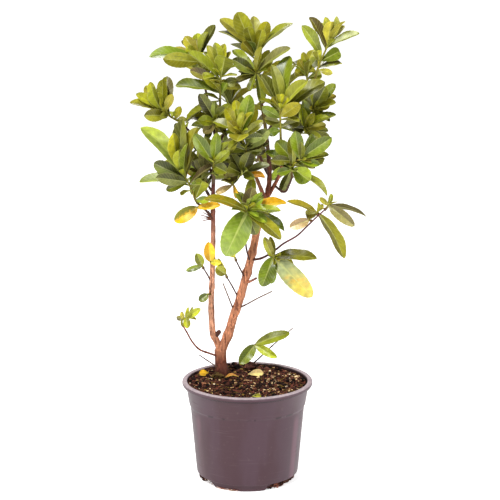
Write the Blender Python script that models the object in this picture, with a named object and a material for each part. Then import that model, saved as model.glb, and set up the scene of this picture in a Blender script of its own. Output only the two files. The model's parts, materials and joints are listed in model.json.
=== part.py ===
"""A potted escallonia: a nursery pot, its soil, the woody stems and the leafy shoots.

Metres, +Z up. The origin is the centre of the pot's flat base. +X is the plant's right as its
front is seen, and +Y goes away from the front.
"""
import math
import random
from collections import namedtuple

import bmesh
import bpy
from mathutils import Matrix, Vector
from mathutils.bvhtree import BVHTree

MM = 0.001
UPRIGHT = Vector((0.0, 0.0, 1.0))
SEAT_GAP = 0.0003
SLIVER_SIZES = (1e-5, 3e-6, 1e-6, 2e-7)

# Driving dimensions of the pot
POT_HEIGHT = 0.132
POT_RIM_RADIUS = 0.085
POT_MOUTH_RADIUS = 0.0786
POT_FOOT_RADIUS = 0.062
POT_FOOT_HEIGHT = 0.009
POT_WALL = 0.0015
POT_COLLAR_HEIGHT = 0.099
POT_COLLAR_TOP = 0.126
POT_BODY_RADIUS = (0.0665, 0.0745)
POT_COLLAR_RADIUS = (0.0760, 0.0800)
POT_WELL_RADIUS = 0.042
POT_SIDES = 32
NOTCH_ANGLES = (80, 200, 320)
NOTCH_SPAN = 52
NOTCH_HEIGHT = 0.0075
NOTCH_INNER_RADIUS = 0.044
DRAIN_SIZE = (0.010, 0.017)
DRAIN_RADIUS = 0.053

# Driving dimensions of the soil
SOIL_EDGE_HEIGHT = 0.1225
SOIL_RISE = 0.0035
SOIL_MOUND = 0.0045
SOIL_SIDES = 28
SOIL_ROUGHNESS = 0.0012
ROOT_PLUG_RADIUS = 0.0036

# Driving dimensions of the plant
ROOT_DEPTH = 0.035
SHOOT_RADIUS = (0.0017, 0.0014)
SHOOT_SIDES = 4
PETIOLE_HALF_WIDTH = 0.0006
LEAF_THICKNESS = 0.0012
LEAF_ARCH = 0.07
BLADE_CLEAR_OF_OWN = 0.14
LEAF_CLEARANCE = 0.00035
BLADE_SPREAD = 1.0 / math.cos(math.radians(30.0))
LARGE_LEAF_WIDTH = 0.0205
FILL_LEAF_LENGTH = (0.034, 0.045)
LEAF_PROPORTION = 0.34
GOLDEN_ANGLE = 137.5
FALLEN_DROP = 0.012
FALLEN_STEP = 0.0001

# The front view that the plant's places are given in: columns and rows from its top left corner
VIEW_DISTANCE = 2.2
VIEW_PITCH = math.radians(12.5)
VIEW_AIM = Vector((0.0035, 0.0, 0.305))
VIEW_FOCAL = 1713.95
VIEW_CENTRE = 250.0
VIEWER = Vector((0.0, -0.98, 0.18)).normalized()

# A leaf's outline: shares of its length and of its half width
LEAF_OUTLINE = ((0.0, 0.0), (0.42, 0.80), (0.78, 0.97), (1.0, 0.0))
LARGE_LEAF_OUTLINE = ((0.0, 0.0), (0.30, 0.66), (0.58, 1.0), (0.84, 0.82), (1.0, 0.0))

# The sides of a stem by its radius in mm at its start
WOOD_SIDES = ((7.0, 8), (4.0, 6), (2.0, 5), (0.0, 4))

# A branch starts on the nearest point of its parent, and its route gives column, row and mm back
Branch = namedtuple("Branch", "name parent route start_radius end_radius")
# A shoot's leaves give the tip's column and row, mm back of the shoot's end, mm wide, mm down the stem
Shoot = namedtuple("Shoot", "name parent route tone fill leaves")
# A fallen leaf lies on the soil with its face tilted to the front, in mm and degrees
Fallen = namedtuple("Fallen", "name tone across back heading tilt length width arch")

BRANCHES = (
    Branch("trunk", None, ((222.4, 378, 21), (220.9, 364, 22), (220.4, 350, 22)), 7.4, 7.7),
    Branch("left_stem", "trunk",
           ((219, 352, 22), (217, 342, 20.5), (213.2, 334, 19), (212, 325, 18), (211.2, 304.6, 14),
            (211.8, 287.4, 10), (212.6, 264.4, 5), (213.2, 230, 0), (213, 200, -4),
            (213.6, 176, -6), (214.5, 150, -2), (217, 128, 0), (219.5, 110, -5)), 4.4, 1.7),
    Branch("right_stem", "trunk",
           ((222.8, 352, 22), (229, 332, 20), (233.4, 316.5, 17), (238.1, 304, 14), (245.3, 279.4, 10),
            (252.2, 253, 8), (257, 230, 6), (260, 216, 6), (267, 197, 8)), 6.0, 4.4),
    Branch("mid_left_branch", "right_stem",
           ((265, 200, 7), (260.5, 188, 0), (254.3, 172.6, -8), (248.5, 157, -17),
            (245, 148, -24)), 2.7, 1.7),
    Branch("mid_branch", "right_stem",
           ((267, 197, 8), (269, 184, 8), (269.5, 171.5, 10), (268, 150, 12), (265, 125, 12),
            (261, 100, 8), (256.5, 78, 4)), 3.2, 1.5),
    Branch("right_branch", "right_stem",
           ((266, 198, 8), (275, 184, 5), (280.9, 171, -4), (281.8, 156, -15), (281, 142, -25)),
           2.5, 1.6),
    Branch("far_right_branch", "right_branch",
           ((277, 180, 3), (287, 160, 8), (293, 146, 13), (301, 125, 16), (309, 100, 10),
            (314, 84, 4)), 2.0, 1.4),
    Branch("right_twig", "right_branch", ((274, 185, 6), (284, 192, -2), (289, 185, -14),
                                          (292.2, 177, -26)), 1.5, 1.2),
    Branch("back_left_branch", "left_stem",
           ((213, 202, -4), (206, 190, 22), (199, 174, 46), (192, 160, 66)), 2.0, 1.4),
    Branch("back_mid_branch", "mid_branch",
           ((269.3, 176, 9), (264, 166, 34), (257, 148, 60), (251, 132, 78)), 2.2, 1.4),
    Branch("back_right_branch", "right_branch",
           ((279, 174, 0), (288, 168, 26), (294, 153, 50), (299, 138, 70)), 2.0, 1.4),
    Branch("back_high_left_branch", "left_stem",
           ((214.2, 160, -4), (222, 138, 22), (230, 116, 40)), 1.8, 1.3),
    Branch("back_high_right_branch", "mid_branch",
           ((266, 135, 12), (276, 116, 30), (282, 100, 42)), 1.7, 1.3),
    Branch("left_low_branch", "left_stem",
           ((213.2, 219, -2), (206.5, 211, -10), (198, 203.5, -18)), 1.6, 1.4),
    Branch("left_high_branch", "left_stem",
           ((213.6, 178, -6), (205, 157, 6), (195, 138, 8), (185, 126.5, 2)), 1.8, 1.4),
    Branch("left_top_branch", "left_stem",
           ((215.5, 140, -2), (210.5, 112, 12), (206.5, 94, 16), (203.5, 80, 14)), 1.6, 1.3),
    Branch("bare_twig_right", "right_stem",
           ((238.5, 310.5, 15), (249.4, 302.8, 6), (257, 298.6, -1), (271.8, 291.4, -14)), 1.0, 0.8),
    Branch("bare_twig_left", "right_stem",
           ((234.5, 313, 16), (228.7, 297.7, 8), (223, 283.4, 2)), 1.0, 0.8),
    Branch("inner_twig", "right_stem",
           ((239.5, 300, 13), (231.6, 285.1, 2), (227, 277.5, -4)), 1.0, 0.9),
    Branch("left_spur", "left_stem",
           ((211.8, 284, 9), (208.5, 276.6, 4), (203.6, 268.5, -2)), 1.1, 0.9),
    Branch("yellowing_twig", "right_stem",
           ((245.6, 279, 10), (239, 266.6, -8), (236, 260.5, -14)), 1.1, 0.9),
    Branch("centre_twig", "right_stem",
           ((250, 262, 9), (246.2, 247.2, -16), (245.4, 230, -34), (246.4, 217, -44)), 1.2, 1.0),
    Branch("cut_spur", "right_stem", ((244, 284, 10), (251, 281, 2), (256.3, 278.2, -6)), 1.7, 1.4),
    Branch("long_twig", "right_stem",
           ((250.5, 260, 9), (262, 258, -4), (275.2, 250, -22), (283.2, 243.8, -28),
            (297, 235.7, -36), (306.5, 226.8, -40), (317.5, 216.3, -44), (324.5, 210, -46)),
           1.6, 0.9),
    Branch("low_left_twig", "trunk",
           ((221, 357, 23), (209.8, 353.4, 12), (199.4, 349.4, 4), (192, 341.4, -2),
            (186.8, 332.2, -6), (183, 326, -8)), 1.4, 1.0),
    Branch("low_bare_twig", "trunk",
           ((221.6, 369, 24), (213.2, 364.3, 14), (199.4, 355.1, 6)), 0.9, 0.7),
    Branch("knot", "left_stem", ((215, 336.5, 20), (219.4, 331.6, 16)), 3.4, 2.9),
)

YOUNG, MATURE, SHADED = "young_leaf", "mature_leaf", "shaded_leaf"
YELLOW, DRY = "yellow_leaf", "dry_leaf"
SHOOTS = (
    Shoot("crown_shoot", "mid_branch", ((255.4, 70, 2), (254.8, 62, 1), (256, 51, 0)), YOUNG, 4, (
        (237, 11.5, -8, 23, 4), (220.5, 18, 4, 10, 2), (254, 15.7, 8, 15, 1),
        (267.5, 21, -6, 17, 3), (292, 22, 6, 10, 5), (219.8, 29.4, 10, 9, 6),
        (247, 26, -22, 15, 2), (262, 29, -20, 14, 4), (242, 42, -20, 12, 7))),
    Shoot("crown_side_shoot", "mid_branch", ((257.6, 82, -2), (256, 72, -12)), MATURE, 2, (
        (290, 47.5, -12, 11, 2), (232.5, 59, -10, 16, 3), (274.5, 97, -18, 14, 1),
        (232.9, 83, -6, 9, 5), (272, 57, 14, 13, 4), (249.5, 91, -16, 8, 2))),
    Shoot("top_right_shoot", "far_right_branch",
          ((315.7, 76, 1), (319.3, 64.3, -3), (323.4, 55, -6), (328.5, 44, -8)), YOUNG, 2, (
        (310.8, 16.5, 6, 12, 8), (302.8, 25.4, -10, 15, 20), (326, 16.8, 8, 11, 3),
        (337.5, 16.5, 4, 10, 2), (344.5, 20.5, -4, 8, 4), (331, 21, -14, 15, 1),
        (359.3, 33, -4, 10, 6), (340.3, 51, -14, 17, 24), (340.6, 62, 4, 8, 34),
        (317, 50, -16, 12, 26), (332.5, 73.5, 2, 9, 36))),
    Shoot("top_left_shoot", "left_top_branch", ((202.5, 75, 12), (201, 66, 6), (199.4, 56, 0)), YOUNG,
          3, (
        (149.6, 54, -8, 14, 3), (184.6, 36.3, 4, 15, 2), (215, 24.7, 4, 12, 4),
        (195.5, 38.5, 8, 8, 1), (163.5, 59, -16, 20, 9), (187, 47, -16, 12, 3),
        (172, 49, 12, 13, 6))),
    Shoot("upper_left_shoot", "left_stem", ((220, 106, -8), (220.3, 90, -16), (220.8, 74, -22)),
          YOUNG, 2, (
        (208, 45, 4, 12, 2), (215.5, 42.5, -4, 14, 3), (224, 43.5, 2, 12, 1),
        (229.5, 51, 6, 9, 3), (225, 55.5, -22, 24, 5), (188.5, 52, -8, 12, 9),
        (190, 70, 10, 14, 12), (203.6, 73, -8, 14, 22), (226.5, 82, -8, 9, 30),
        (236.5, 80, 4, 13, 16), (175.8, 84, 8, 13, 26), (184.8, 122, 16, 9, 36))),
    Shoot("far_left_shoot", "left_high_branch", ((180, 122, -2), (171, 117, -5), (161, 109.5, -8)),
          YOUNG, 2, (
        (130, 101.7, -8, 10, 6), (136, 93.8, -10, 12, 4), (149.5, 82.3, 0, 12, 2),
        (162, 79.5, 6, 14, 3), (167, 76, 12, 18, 8), (172, 94, 8, 11, 6),
        (144.6, 115.5, -12, 17, 12), (180.5, 106.5, -4, 10, 22), (150, 97, -20, 12, 3),
        (157, 92, -16, 12, 1), (168, 77, 26, 12, 14))),
    Shoot("left_inner_shoot", "left_stem", ((217.6, 124, -4), (215, 121, -16)), SHADED, 3, (
        (198.2, 120, -12, 14, 2), (203.5, 133.5, -10, 13, 3), (230, 104, -8, 14, 1),
        (226, 128, -14, 13, 4))),
    Shoot("left_shoot", "left_low_branch",
          ((195.5, 200, -22), (191, 188, -28), (183.5, 174, -32)), YOUNG, 2, (
        (143.2, 126.3, -12, 20, 4), (172.6, 133.4, -20, 15, 2), (180.5, 119.3, 6, 20, 5),
        (195.5, 126.8, 0, 14, 4), (153.5, 163, 8, 18, 7), (139.3, 182, -4, 13, 9),
        (156.7, 177.6, -16, 16, 12), (214.8, 163.6, -6, 12, 16), (203, 180, -12, 18, 38),
        (209.5, 199.5, -8, 10, 40), (178, 150, -26, 12, 1))),
    Shoot("left_dark_shoot", "left_stem", ((212.6, 190, -5), (204, 177, -2)), SHADED, 3, (
        (186, 150, 0, 14, 1), (202, 148, 8, 15, 2), (188, 169, -6, 10, 3),
        (197, 158, -10, 12, 2))),
    Shoot("centre_left_shoot", "left_stem", ((213.4, 183, -8), (213.4, 173, -28), (214, 162, -42)),
          MATURE, 3, (
        (194.2, 134, -6, 17, 3), (217, 133.4, -8, 14, 2), (229.6, 150.2, -18, 12, 4),
        (236, 138, 8, 17, 5), (206, 138, 12, 15, 4), (226.5, 172, -12, 16, 7))),
    Shoot("centre_shoot", "mid_left_branch",
          ((244, 145, -28), (242.5, 138, -38), (241, 131.5, -46)), YOUNG, 3, (
        (249.8, 95.2, -6, 19, 4), (236, 108.6, -6, 9, 2), (242.3, 112, -12, 9, 1),
        (225.6, 108, 2, 15, 5), (237, 140, -30, 25, 6), (256.5, 108, 8, 15, 7),
        (228, 121, -8, 13, 8))),
    Shoot("centre_right_shoot", "right_branch",
          ((280.8, 139, -28), (280.3, 122, -32), (280.4, 108, -38)), YOUNG, 2, (
        (272.5, 65, -8, 15, 5), (305.9, 79.8, -12, 13, 4), (323.8, 80.4, 4, 18, 8),
        (287.5, 55.3, 16, 21, 12), (262.5, 74, 8, 14, 9), (272, 97, -12, 10, 1),
        (288, 96.5, -10, 10, 2), (280, 93, -16, 11, 1), (300, 103.5, -12, 17, 12),
        (262, 107, -8, 13, 14), (301, 120, 4, 14, 26))),
    Shoot("right_shoot", "right_branch", ((283, 158, -18), (292.5, 160.5, -32), (301.5, 159.3, -40)),
          MATURE, 2, (
        (295.2, 131, -6, 17, 3), (301, 142.5, -14, 9, 1), (331.8, 137.6, -6, 18, 4),
        (319.8, 164.8, 0, 10, 5), (276, 141, 8, 19, 12), (309, 148, 12, 14, 8))),
    Shoot("right_low_shoot", "right_twig", ((291.8, 174.5, -29), (292.3, 167, -36)), MATURE, 2, (
        (309.6, 181, -8, 23, 1), (328.6, 193.8, -6, 8, 5), (277, 173, -4, 11, 4),
        (302, 172, 8, 13, 3))),
    Shoot("right_mid_shoot", "far_right_branch", ((300.5, 133, 8), (305.5, 128, -8)), MATURE, 3, (
        (335.2, 113.4, -8, 11, 2), (326.2, 124.8, 0, 11, 3), (328.4, 130.6, 8, 8, 4),
        (302, 108, -10, 12, 1), (314, 113, -14, 11, 2), (322, 140, -8, 11, 5),
        (291, 127, -8, 14, 4))),
    Shoot("right_upper_shoot", "far_right_branch", ((309.5, 112, 6), (314, 108.5, -6)), MATURE, 3, (
        (325.6, 86.4, -8, 18, 2), (329.5, 106.3, -2, 8, 4), (308.5, 90, 4, 13, 1),
        (336, 95, 12, 10, 5), (322, 121, -8, 11, 6))),
    Shoot("small_upper_shoot", "far_right_branch", ((309.6, 92, 13), (307, 78, 17), (306.5, 69, 19)),
          YOUNG, 2, (
        (303.2, 52, 0, 9, 1), (298, 60, -4, 10, 4), (317.6, 57.5, 4, 14, 3),
        (313.5, 67, -10, 12, 5), (294.5, 71, 6, 12, 8), (322, 74, 6, 12, 12))),
    Shoot("inner_high_shoot", "mid_left_branch", ((252, 162, -20), (246, 149, -32)), SHADED, 2, (
        (268.5, 129.8, -12, 17, 1), (263, 143, -10, 13, 2), (229, 145, -4, 15, 3),
        (262, 151.5, -6, 9, 4))),
    Shoot("inner_low_shoot", "mid_left_branch", ((252.5, 174, -16), (241, 173.5, -26)), SHADED, 3, (
        (250.5, 151.6, -10, 18, 1), (269.3, 164.5, -8, 10, 2), (231.5, 154, -6, 14, 2),
        (224, 179, -4, 13, 3), (240, 156, 8, 13, 4))),
    Shoot("rosette_shoot", "centre_twig", ((246.8, 214, -46), (247.8, 208.5, -49)), MATURE, 1, (
        (225.5, 256, -16, 34, 3), (204.8, 197, -8, 11, 4), (252.4, 187.5, 4, 19, 3),
        (263, 198.5, -8, 9, 1), (255.5, 203, -14, 7, 1), (281, 211, -10, 10, 2),
        (281.5, 239, -14, 16, 4), (256.5, 235, 2, 18, 5), (267, 222, -4, 13, 3),
        (286, 229.5, 10, 12, 5))),
    Shoot("drying_spray", "centre_twig", ((243.6, 219, -36), (241, 200, -30), (232.6, 183.4, -28)),
          MATURE, 1, (
        (215.6, 192.8, -6, 9, 2), (224.5, 172, 2, 8, 1), (238, 172, -6, 9, 2),
        (258.5, 196, 6, 5, 18))),
    Shoot("inner_leaf_twig", "inner_twig", ((226.2, 275.5, -6), (225.4, 273.5, -8)), MATURE, 0, (
        (216, 267.5, -3, 14, 1), (218, 258.5, -6, 9, 1))),
    Shoot("left_spur_leaves", "left_spur", ((202.6, 266.5, -4), (202, 265, -5)), MATURE, 0, (
        (186, 270.8, -2, 8, 1), (196.5, 253.5, -4, 12, 1))),
    Shoot("left_stem_leaf", "left_stem", ((209.5, 294.5, 6), (207.6, 294, 2)), MATURE, 0, (
        (199, 301, -2, 11, 1),)),
    Shoot("low_left_shoot", "low_left_twig", ((181.6, 323, -9), (182.4, 319.5, -10),
                                              (187, 317.5, -12)), YOUNG, 0, (
        (200.3, 308.6, -5, 10, 1), (188.4, 307, 3, 5, 2), (176.4, 317, 4, 7, 7),
        (187.5, 328.3, -7, 10, 1), (195, 314, 6, 7, 2), (181.5, 311.5, 2, 6, 6))),
    Shoot("right_cluster", "long_twig", ((269.5, 255.5, -20), (274, 257, -27)), MATURE, 0, (
        (264.4, 237.5, -4, 11, 3), (270.2, 236.5, 4, 7, 1), (262, 286.5, -10, 22, 1),
        (271.5, 284, 8, 13, 3), (312.4, 297, -14, 26, 1), (317.2, 257.6, -4, 14, 2),
        (295, 264, 10, 7, 3))),
    Shoot("long_twig_shoot", "long_twig", ((326.6, 208, -47), (328.8, 204.6, -48)), MATURE, 0, (
        (354.4, 226, -12, 15, 1), (366.8, 215.6, 8, 7, 2), (319.5, 197.5, 6, 7, 1))),
    Shoot("long_twig_low_shoot", "long_twig", ((316.5, 213.4, -43), (318, 211.6, -43)), MATURE, 0, (
        (287, 201.2, -4, 8, 2), (344.4, 258.5, -10, 14, 1), (305, 214.5, 8, 13, 3))),
    Shoot("long_twig_dry_shoot", "long_twig", ((310.5, 220, -42), (308.5, 219.8, -43)), MATURE, 0, (
        (289.5, 227.3, -4, 14, 1),)),
    Shoot("back_left_shoot", "back_left_branch", ((189.5, 155, 72), (186, 147, 78)), MATURE, 10, ()),
    Shoot("back_left_low_shoot", "back_left_branch", ((205, 180, 44), (205, 174, 58)), MATURE, 9, ()),
    Shoot("back_centre_shoot", "back_mid_branch", ((248.5, 126, 84), (246, 119, 90)), MATURE, 10, ()),
    Shoot("back_centre_low_shoot", "back_mid_branch", ((257, 161, 60), (254, 159, 74)), MATURE, 10,
          ()),
    Shoot("back_right_shoot", "back_right_branch", ((301, 131, 76), (303, 123, 82)), MATURE, 10, ()),
    Shoot("back_right_low_shoot", "back_right_branch", ((293, 166, 46), (295, 164, 58)), MATURE, 9,
          ()),
    Shoot("back_high_left_shoot", "back_high_left_branch", ((231, 108, 46), (231, 98, 52)), YOUNG,
          10, ()),
    Shoot("back_high_right_shoot", "back_high_right_branch", ((284.5, 91, 48), (286, 81, 53)), YOUNG,
          10, ()),
    Shoot("back_crown_left_shoot", "left_top_branch", ((205.5, 84, 26), (207, 74, 38)), YOUNG, 9,
          ()),
    Shoot("back_crown_shoot", "mid_branch", ((258.5, 84, 14), (259.5, 72, 32)), YOUNG, 9, ()),
    Shoot("back_middle_shoot", "back_high_left_branch", ((224.5, 134, 34), (220.5, 128, 50)), MATURE,
          9, ()),
)

YELLOW_LEAVES = (
    Shoot("yellow_leaf_left", "left_low_branch", ((200.4, 208.5, -22), (197, 207, -27)), YELLOW, 0, (
        (174.5, 221.5, -4, 18, 1),)),
    Shoot("yellow_leaf_stem", "left_stem", ((211, 262.5, -2), (210.4, 261.5, -5)), YELLOW, 0, (
        (208.5, 242.5, -4, 15, 1),)),
    Shoot("yellow_leaf_behind", "yellowing_twig", ((235.4, 258.6, -15), (235, 257.4, -16)), YELLOW, 0, (
        (227.8, 246.5, 2, 14, 1),)),
)

FALLEN = (
    Fallen("fallen_leaf_yellow", YELLOW, -57, 28, 200, 45, 13, 10, 0.10),
    Fallen("fallen_leaf_brown", DRY, -20, 11, 178, 20, 17, 6, 0.22),
    Fallen("fallen_leaf_cream", DRY, 11, 19, 14, 45, 21, 11, 0.08),
    Fallen("fallen_leaf_small", YELLOW, 12, -55, 0, 35, 12, 7, 0.10),
)

# The low shoot stands in the soil by itself
LOW_SHOOT_ROUTE = ((243.5, 369, 52), (247.5, 353, 46), (255.6, 344.2, 42))
LOW_SHOOT_LEAVES = ((289.8, 333, -2, 14, 1), (239.5, 364, -14, 17, 1), (276.5, 357.5, -14, 12, 1))
LOW_TWIG_ROUTE = ((254, 366, 62), (257.6, 359.6, 58), (271.8, 346.2, 48), (292.6, 328.2, 40))
LOW_STEM_RADIUS = (0.0013, 0.0010)
LOW_TWIG_RADIUS = (0.0010, 0.0008)
LOW_STEM_DEPTH = 0.012

COLOURS = {
    "pot_plastic": ((0.115, 0.078, 0.092, 1.0), 0.42),
    "soil": ((0.055, 0.026, 0.020, 1.0), 0.95),
    "bark": ((0.42, 0.19, 0.115, 1.0), 0.80),
    YOUNG: ((0.30, 0.36, 0.045, 1.0), 0.42),
    MATURE: ((0.13, 0.22, 0.022, 1.0), 0.38),
    SHADED: ((0.060, 0.100, 0.016, 1.0), 0.40),
    YELLOW: ((0.86, 0.55, 0.012, 1.0), 0.50),
    DRY: ((0.74, 0.48, 0.17, 1.0), 0.70),
}


def clear_scene():
    for thing in list(bpy.data.objects):
        bpy.data.objects.remove(thing, do_unlink=True)


def make_material(name):
    colour, roughness = COLOURS[name]
    material = bpy.data.materials.new(name)
    material.use_nodes = True
    shader = material.node_tree.nodes["Principled BSDF"]
    shader.inputs["Base Color"].default_value = colour
    shader.inputs["Roughness"].default_value = roughness
    shader.inputs["Metallic"].default_value = 0.0
    material.diffuse_color = colour
    return material


def seen(column, row, back):
    """The point that shows at a column and row of the front view, back mm behind the pot's axis."""
    forward = Vector((0.0, math.cos(VIEW_PITCH), -math.sin(VIEW_PITCH)))
    upward = Vector((0.0, math.sin(VIEW_PITCH), math.cos(VIEW_PITCH)))
    eye = VIEW_AIM - VIEW_DISTANCE * forward
    ray = (forward + Vector((1.0, 0.0, 0.0)) * (column - VIEW_CENTRE) / VIEW_FOCAL
           + upward * (VIEW_CENTRE - row) / VIEW_FOCAL)
    return eye + ray * ((back * MM - eye.y) / ray.y)


def turned(profile, sides):
    """A closed shape turned about Z from (radius, height) points that begin and end on the axis."""
    shape = bmesh.new()
    line = [shape.verts.new((radius, 0.0, height)) for radius, height in profile]
    edges = [shape.edges.new(pair) for pair in zip(line, line[1:])]
    bmesh.ops.spin(shape, geom=line + edges, cent=(0.0, 0.0, 0.0), axis=(0.0, 0.0, 1.0),
                   angle=2.0 * math.pi, steps=sides, use_merge=True)
    bmesh.ops.remove_doubles(shape, verts=shape.verts, dist=1e-6)
    bmesh.ops.recalc_face_normals(shape, faces=shape.faces)
    return shape


def as_mesh(name, shape):
    bmesh.ops.triangulate(shape, faces=shape.faces)
    mesh = bpy.data.meshes.new(name)
    shape.to_mesh(mesh)
    shape.free()
    return mesh


def unit_column(rings, sides):
    """A closed column of the given rings, one unit apart, which tubes are bent from."""
    profile = [(0.0, 0.0)] + [(1.0, float(ring)) for ring in range(rings)]
    return as_mesh("column", turned(profile + [(0.0, float(rings - 1))], sides))


def unit_blade(rings):
    """A closed three-sided spindle: two edges and the rib that stands out below the blade."""
    profile = [(0.0, 0.0)] + [(1.0, float(ring)) for ring in range(rings)] + [(0.0, float(rings))]
    shape = turned(profile, 3)
    bmesh.ops.rotate(shape, verts=shape.verts, matrix=Matrix.Rotation(-math.pi / 2.0, 3, "Z"))
    return as_mesh("blade", shape)


def centre_line(route):
    return [seen(*place) for place in route]


def nearest_on(line, point):
    """The closest point of a line of points, how far along it is from 0 to 1, and the heading there."""
    best = None
    for index, (start, end) in enumerate(zip(line, line[1:])):
        along = max(0.0, min(1.0, (point - start).dot(end - start) / (end - start).length_squared))
        place = start.lerp(end, along)
        distance = (place - point).length
        if best is None or distance < best[0]:
            heading = (end - start).normalized()
            best = (distance, place, (index + along) / (len(line) - 1), heading)
    return best[1:]


def tube(columns, line, start_radius, end_radius, sides, start_heading=None):
    """A tapered stem along a line of points, with flat ends square to it."""
    count = len(line)
    if (count, sides) not in columns:
        columns[(count, sides)] = unit_column(count, sides)
    headings = [(line[min(i + 1, count - 1)] - line[max(i - 1, 0)]).normalized()
                for i in range(count)]
    headings[0] = start_heading or headings[0]
    across = headings[0].orthogonal().normalized()
    frames = []
    for heading in headings:
        across = (across - heading * across.dot(heading)).normalized()
        frames.append((across.copy(), heading.cross(across)))
    shape = bmesh.new()
    shape.from_mesh(columns[(count, sides)])
    for vert in shape.verts:
        ring = round(vert.co.z)
        radius = start_radius + (end_radius - start_radius) * ring / (count - 1)
        first, second = frames[ring]
        vert.co = line[ring] + radius * (first * vert.co.x + second * vert.co.y)
    bmesh.ops.recalc_face_normals(shape, faces=shape.faces)
    return as_mesh("tube", shape)


def blade(blades, root, tip, upper, width, arch, extra=0.0):
    """A leaf from root to tip: an arched blade, flat above and with its rib standing out below."""
    outline = LARGE_LEAF_OUTLINE if width > LARGE_LEAF_WIDTH else LEAF_OUTLINE
    chord = tip - root
    length = chord.length
    heading = chord / length
    upper = (upper - heading * upper.dot(heading)).normalized()
    across = upper.cross(heading)
    shape = bmesh.new()
    shape.from_mesh(blades[len(outline) - 1])
    for vert in shape.verts:
        ring = round(vert.co.z)
        along, share = outline[ring]
        half_width = share * (width / 2.0 + extra) + PETIOLE_HALF_WIDTH * (share == 0.0) + extra
        rib = root + chord * along + upper * (arch * length * math.sin(math.pi * along))
        if ring == len(outline) - 1:
            rib += heading * extra * 2.0
        thickness = LEAF_THICKNESS / 2.0 + extra
        height = thickness if vert.co.y > 0.0 else -thickness
        height *= 0.0 < abs(vert.co.x) + abs(vert.co.y)
        vert.co = rib + across * half_width * vert.co.x * BLADE_SPREAD + upper * height
    return as_mesh("leaf", shape)


def surface_tree(mesh):
    points = [vert.co for vert in mesh.vertices]
    return BVHTree.FromPolygons(points, [tuple(face.vertices) for face in mesh.polygons])


class Crowd:
    """The solids placed so far, which a new leaf of another node has to stay clear of."""

    def __init__(self):
        self.trees = []

    def add(self, owner, mesh):
        self.trees.append((owner, *self.span(mesh), surface_tree(mesh)))

    @staticmethod
    def span(mesh):
        points = [vert.co for vert in mesh.vertices]
        low = Vector(min(point[axis] for point in points) for axis in range(3))
        high = Vector(max(point[axis] for point in points) for axis in range(3))
        return low, high

    def touches(self, owner, mesh):
        low, high = self.span(mesh)
        tree = None
        for other, other_low, other_high, other_tree in self.trees:
            if other == owner:
                continue
            if any(high[axis] < other_low[axis] or low[axis] > other_high[axis]
                   for axis in range(3)):
                continue
            tree = tree or surface_tree(mesh)
            if tree.overlap(other_tree):
                return other
        return None


def largest_body(shape):
    """Removes everything but the largest connected body of a shape."""
    left = set(shape.verts)
    bodies = []
    while left:
        body = set()
        waiting = [left.pop()]
        while waiting:
            vert = waiting.pop()
            body.add(vert)
            for edge in vert.link_edges:
                other = edge.other_vert(vert)
                if other in left:
                    left.remove(other)
                    waiting.append(other)
        bodies.append(body)
    bodies.sort(key=len)
    for body in bodies[:-1]:
        bmesh.ops.delete(shape, geom=list(body), context="VERTS")


def is_closed(shape):
    return all(edge.is_manifold for edge in shape.edges) and shape.calc_volume() > 0.0


def weld_slivers(mesh):
    """Triangles only, with the finest slivers welded as far as the body stays closed."""
    for distance in SLIVER_SIZES:
        shape = bmesh.new()
        shape.from_mesh(mesh)
        largest_body(shape)
        bmesh.ops.triangulate(shape, faces=shape.faces)
        bmesh.ops.remove_doubles(shape, verts=shape.verts, dist=distance)
        bmesh.ops.dissolve_degenerate(shape, edges=shape.edges, dist=distance)
        bmesh.ops.triangulate(shape, faces=shape.faces)
        largest_body(shape)
        closed = is_closed(shape)
        if closed:
            shape.to_mesh(mesh)
        shape.free()
        if closed:
            return True
    return False


def add_object(name, mesh, collection):
    thing = bpy.data.objects.new(name, mesh)
    collection.objects.link(thing)
    return thing


def apply_modifiers(thing):
    graph = bpy.context.evaluated_depsgraph_get()
    mesh = bpy.data.meshes.new_from_object(thing.evaluated_get(graph))
    thing.modifiers.clear()
    thing.data = mesh
    return mesh


def fuse(name, meshes, material):
    """One object whose body joins all the given closed meshes."""
    scene = bpy.context.scene.collection
    group = bpy.data.collections.new(name + "_pieces")
    scene.children.link(group)
    for mesh in meshes[1:]:
        add_object(name + "_piece", mesh, group)
    body = add_object(name, meshes[0], scene)
    for solver in ("EXACT", "MANIFOLD"):
        body.data = meshes[0]
        join = body.modifiers.new("join", "BOOLEAN")
        join.operation = "UNION"
        join.operand_type = "COLLECTION"
        join.collection = group
        join.solver = solver
        if weld_slivers(apply_modifiers(body)):
            break
        print(name, "is not closed with", solver)
    for piece in list(group.objects):
        bpy.data.objects.remove(piece, do_unlink=True)
    bpy.data.collections.remove(group)
    body.data.materials.clear()
    body.data.materials.append(material)
    return body


def cut(thing, cutters):
    """Takes the cutters' shapes out of an object."""
    for cutter in cutters:
        tool = add_object("cutter", cutter, bpy.context.scene.collection)
        difference = thing.modifiers.new("cut", "BOOLEAN")
        difference.operation = "DIFFERENCE"
        difference.solver = "EXACT"
        difference.object = tool
        apply_modifiers(thing)
        bpy.data.objects.remove(tool, do_unlink=True)


def soil_height(x, y):
    """The soil's top: it rises to the back and by the trunk, with shallow lumps."""
    edge = POT_COLLAR_RADIUS[1]
    away = math.hypot(x + 0.010, y - 0.006) / edge
    lumps = math.sin(x * 210.0 + 1.0) * math.cos(y * 190.0) + 0.6 * math.sin((x - y) * 330.0)
    slope = SOIL_RISE * (1.0 + y / edge)
    mound = SOIL_MOUND * max(0.0, 1.0 - away * away)
    return SOIL_EDGE_HEIGHT + slope + mound + SOIL_ROUGHNESS * lumps


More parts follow.
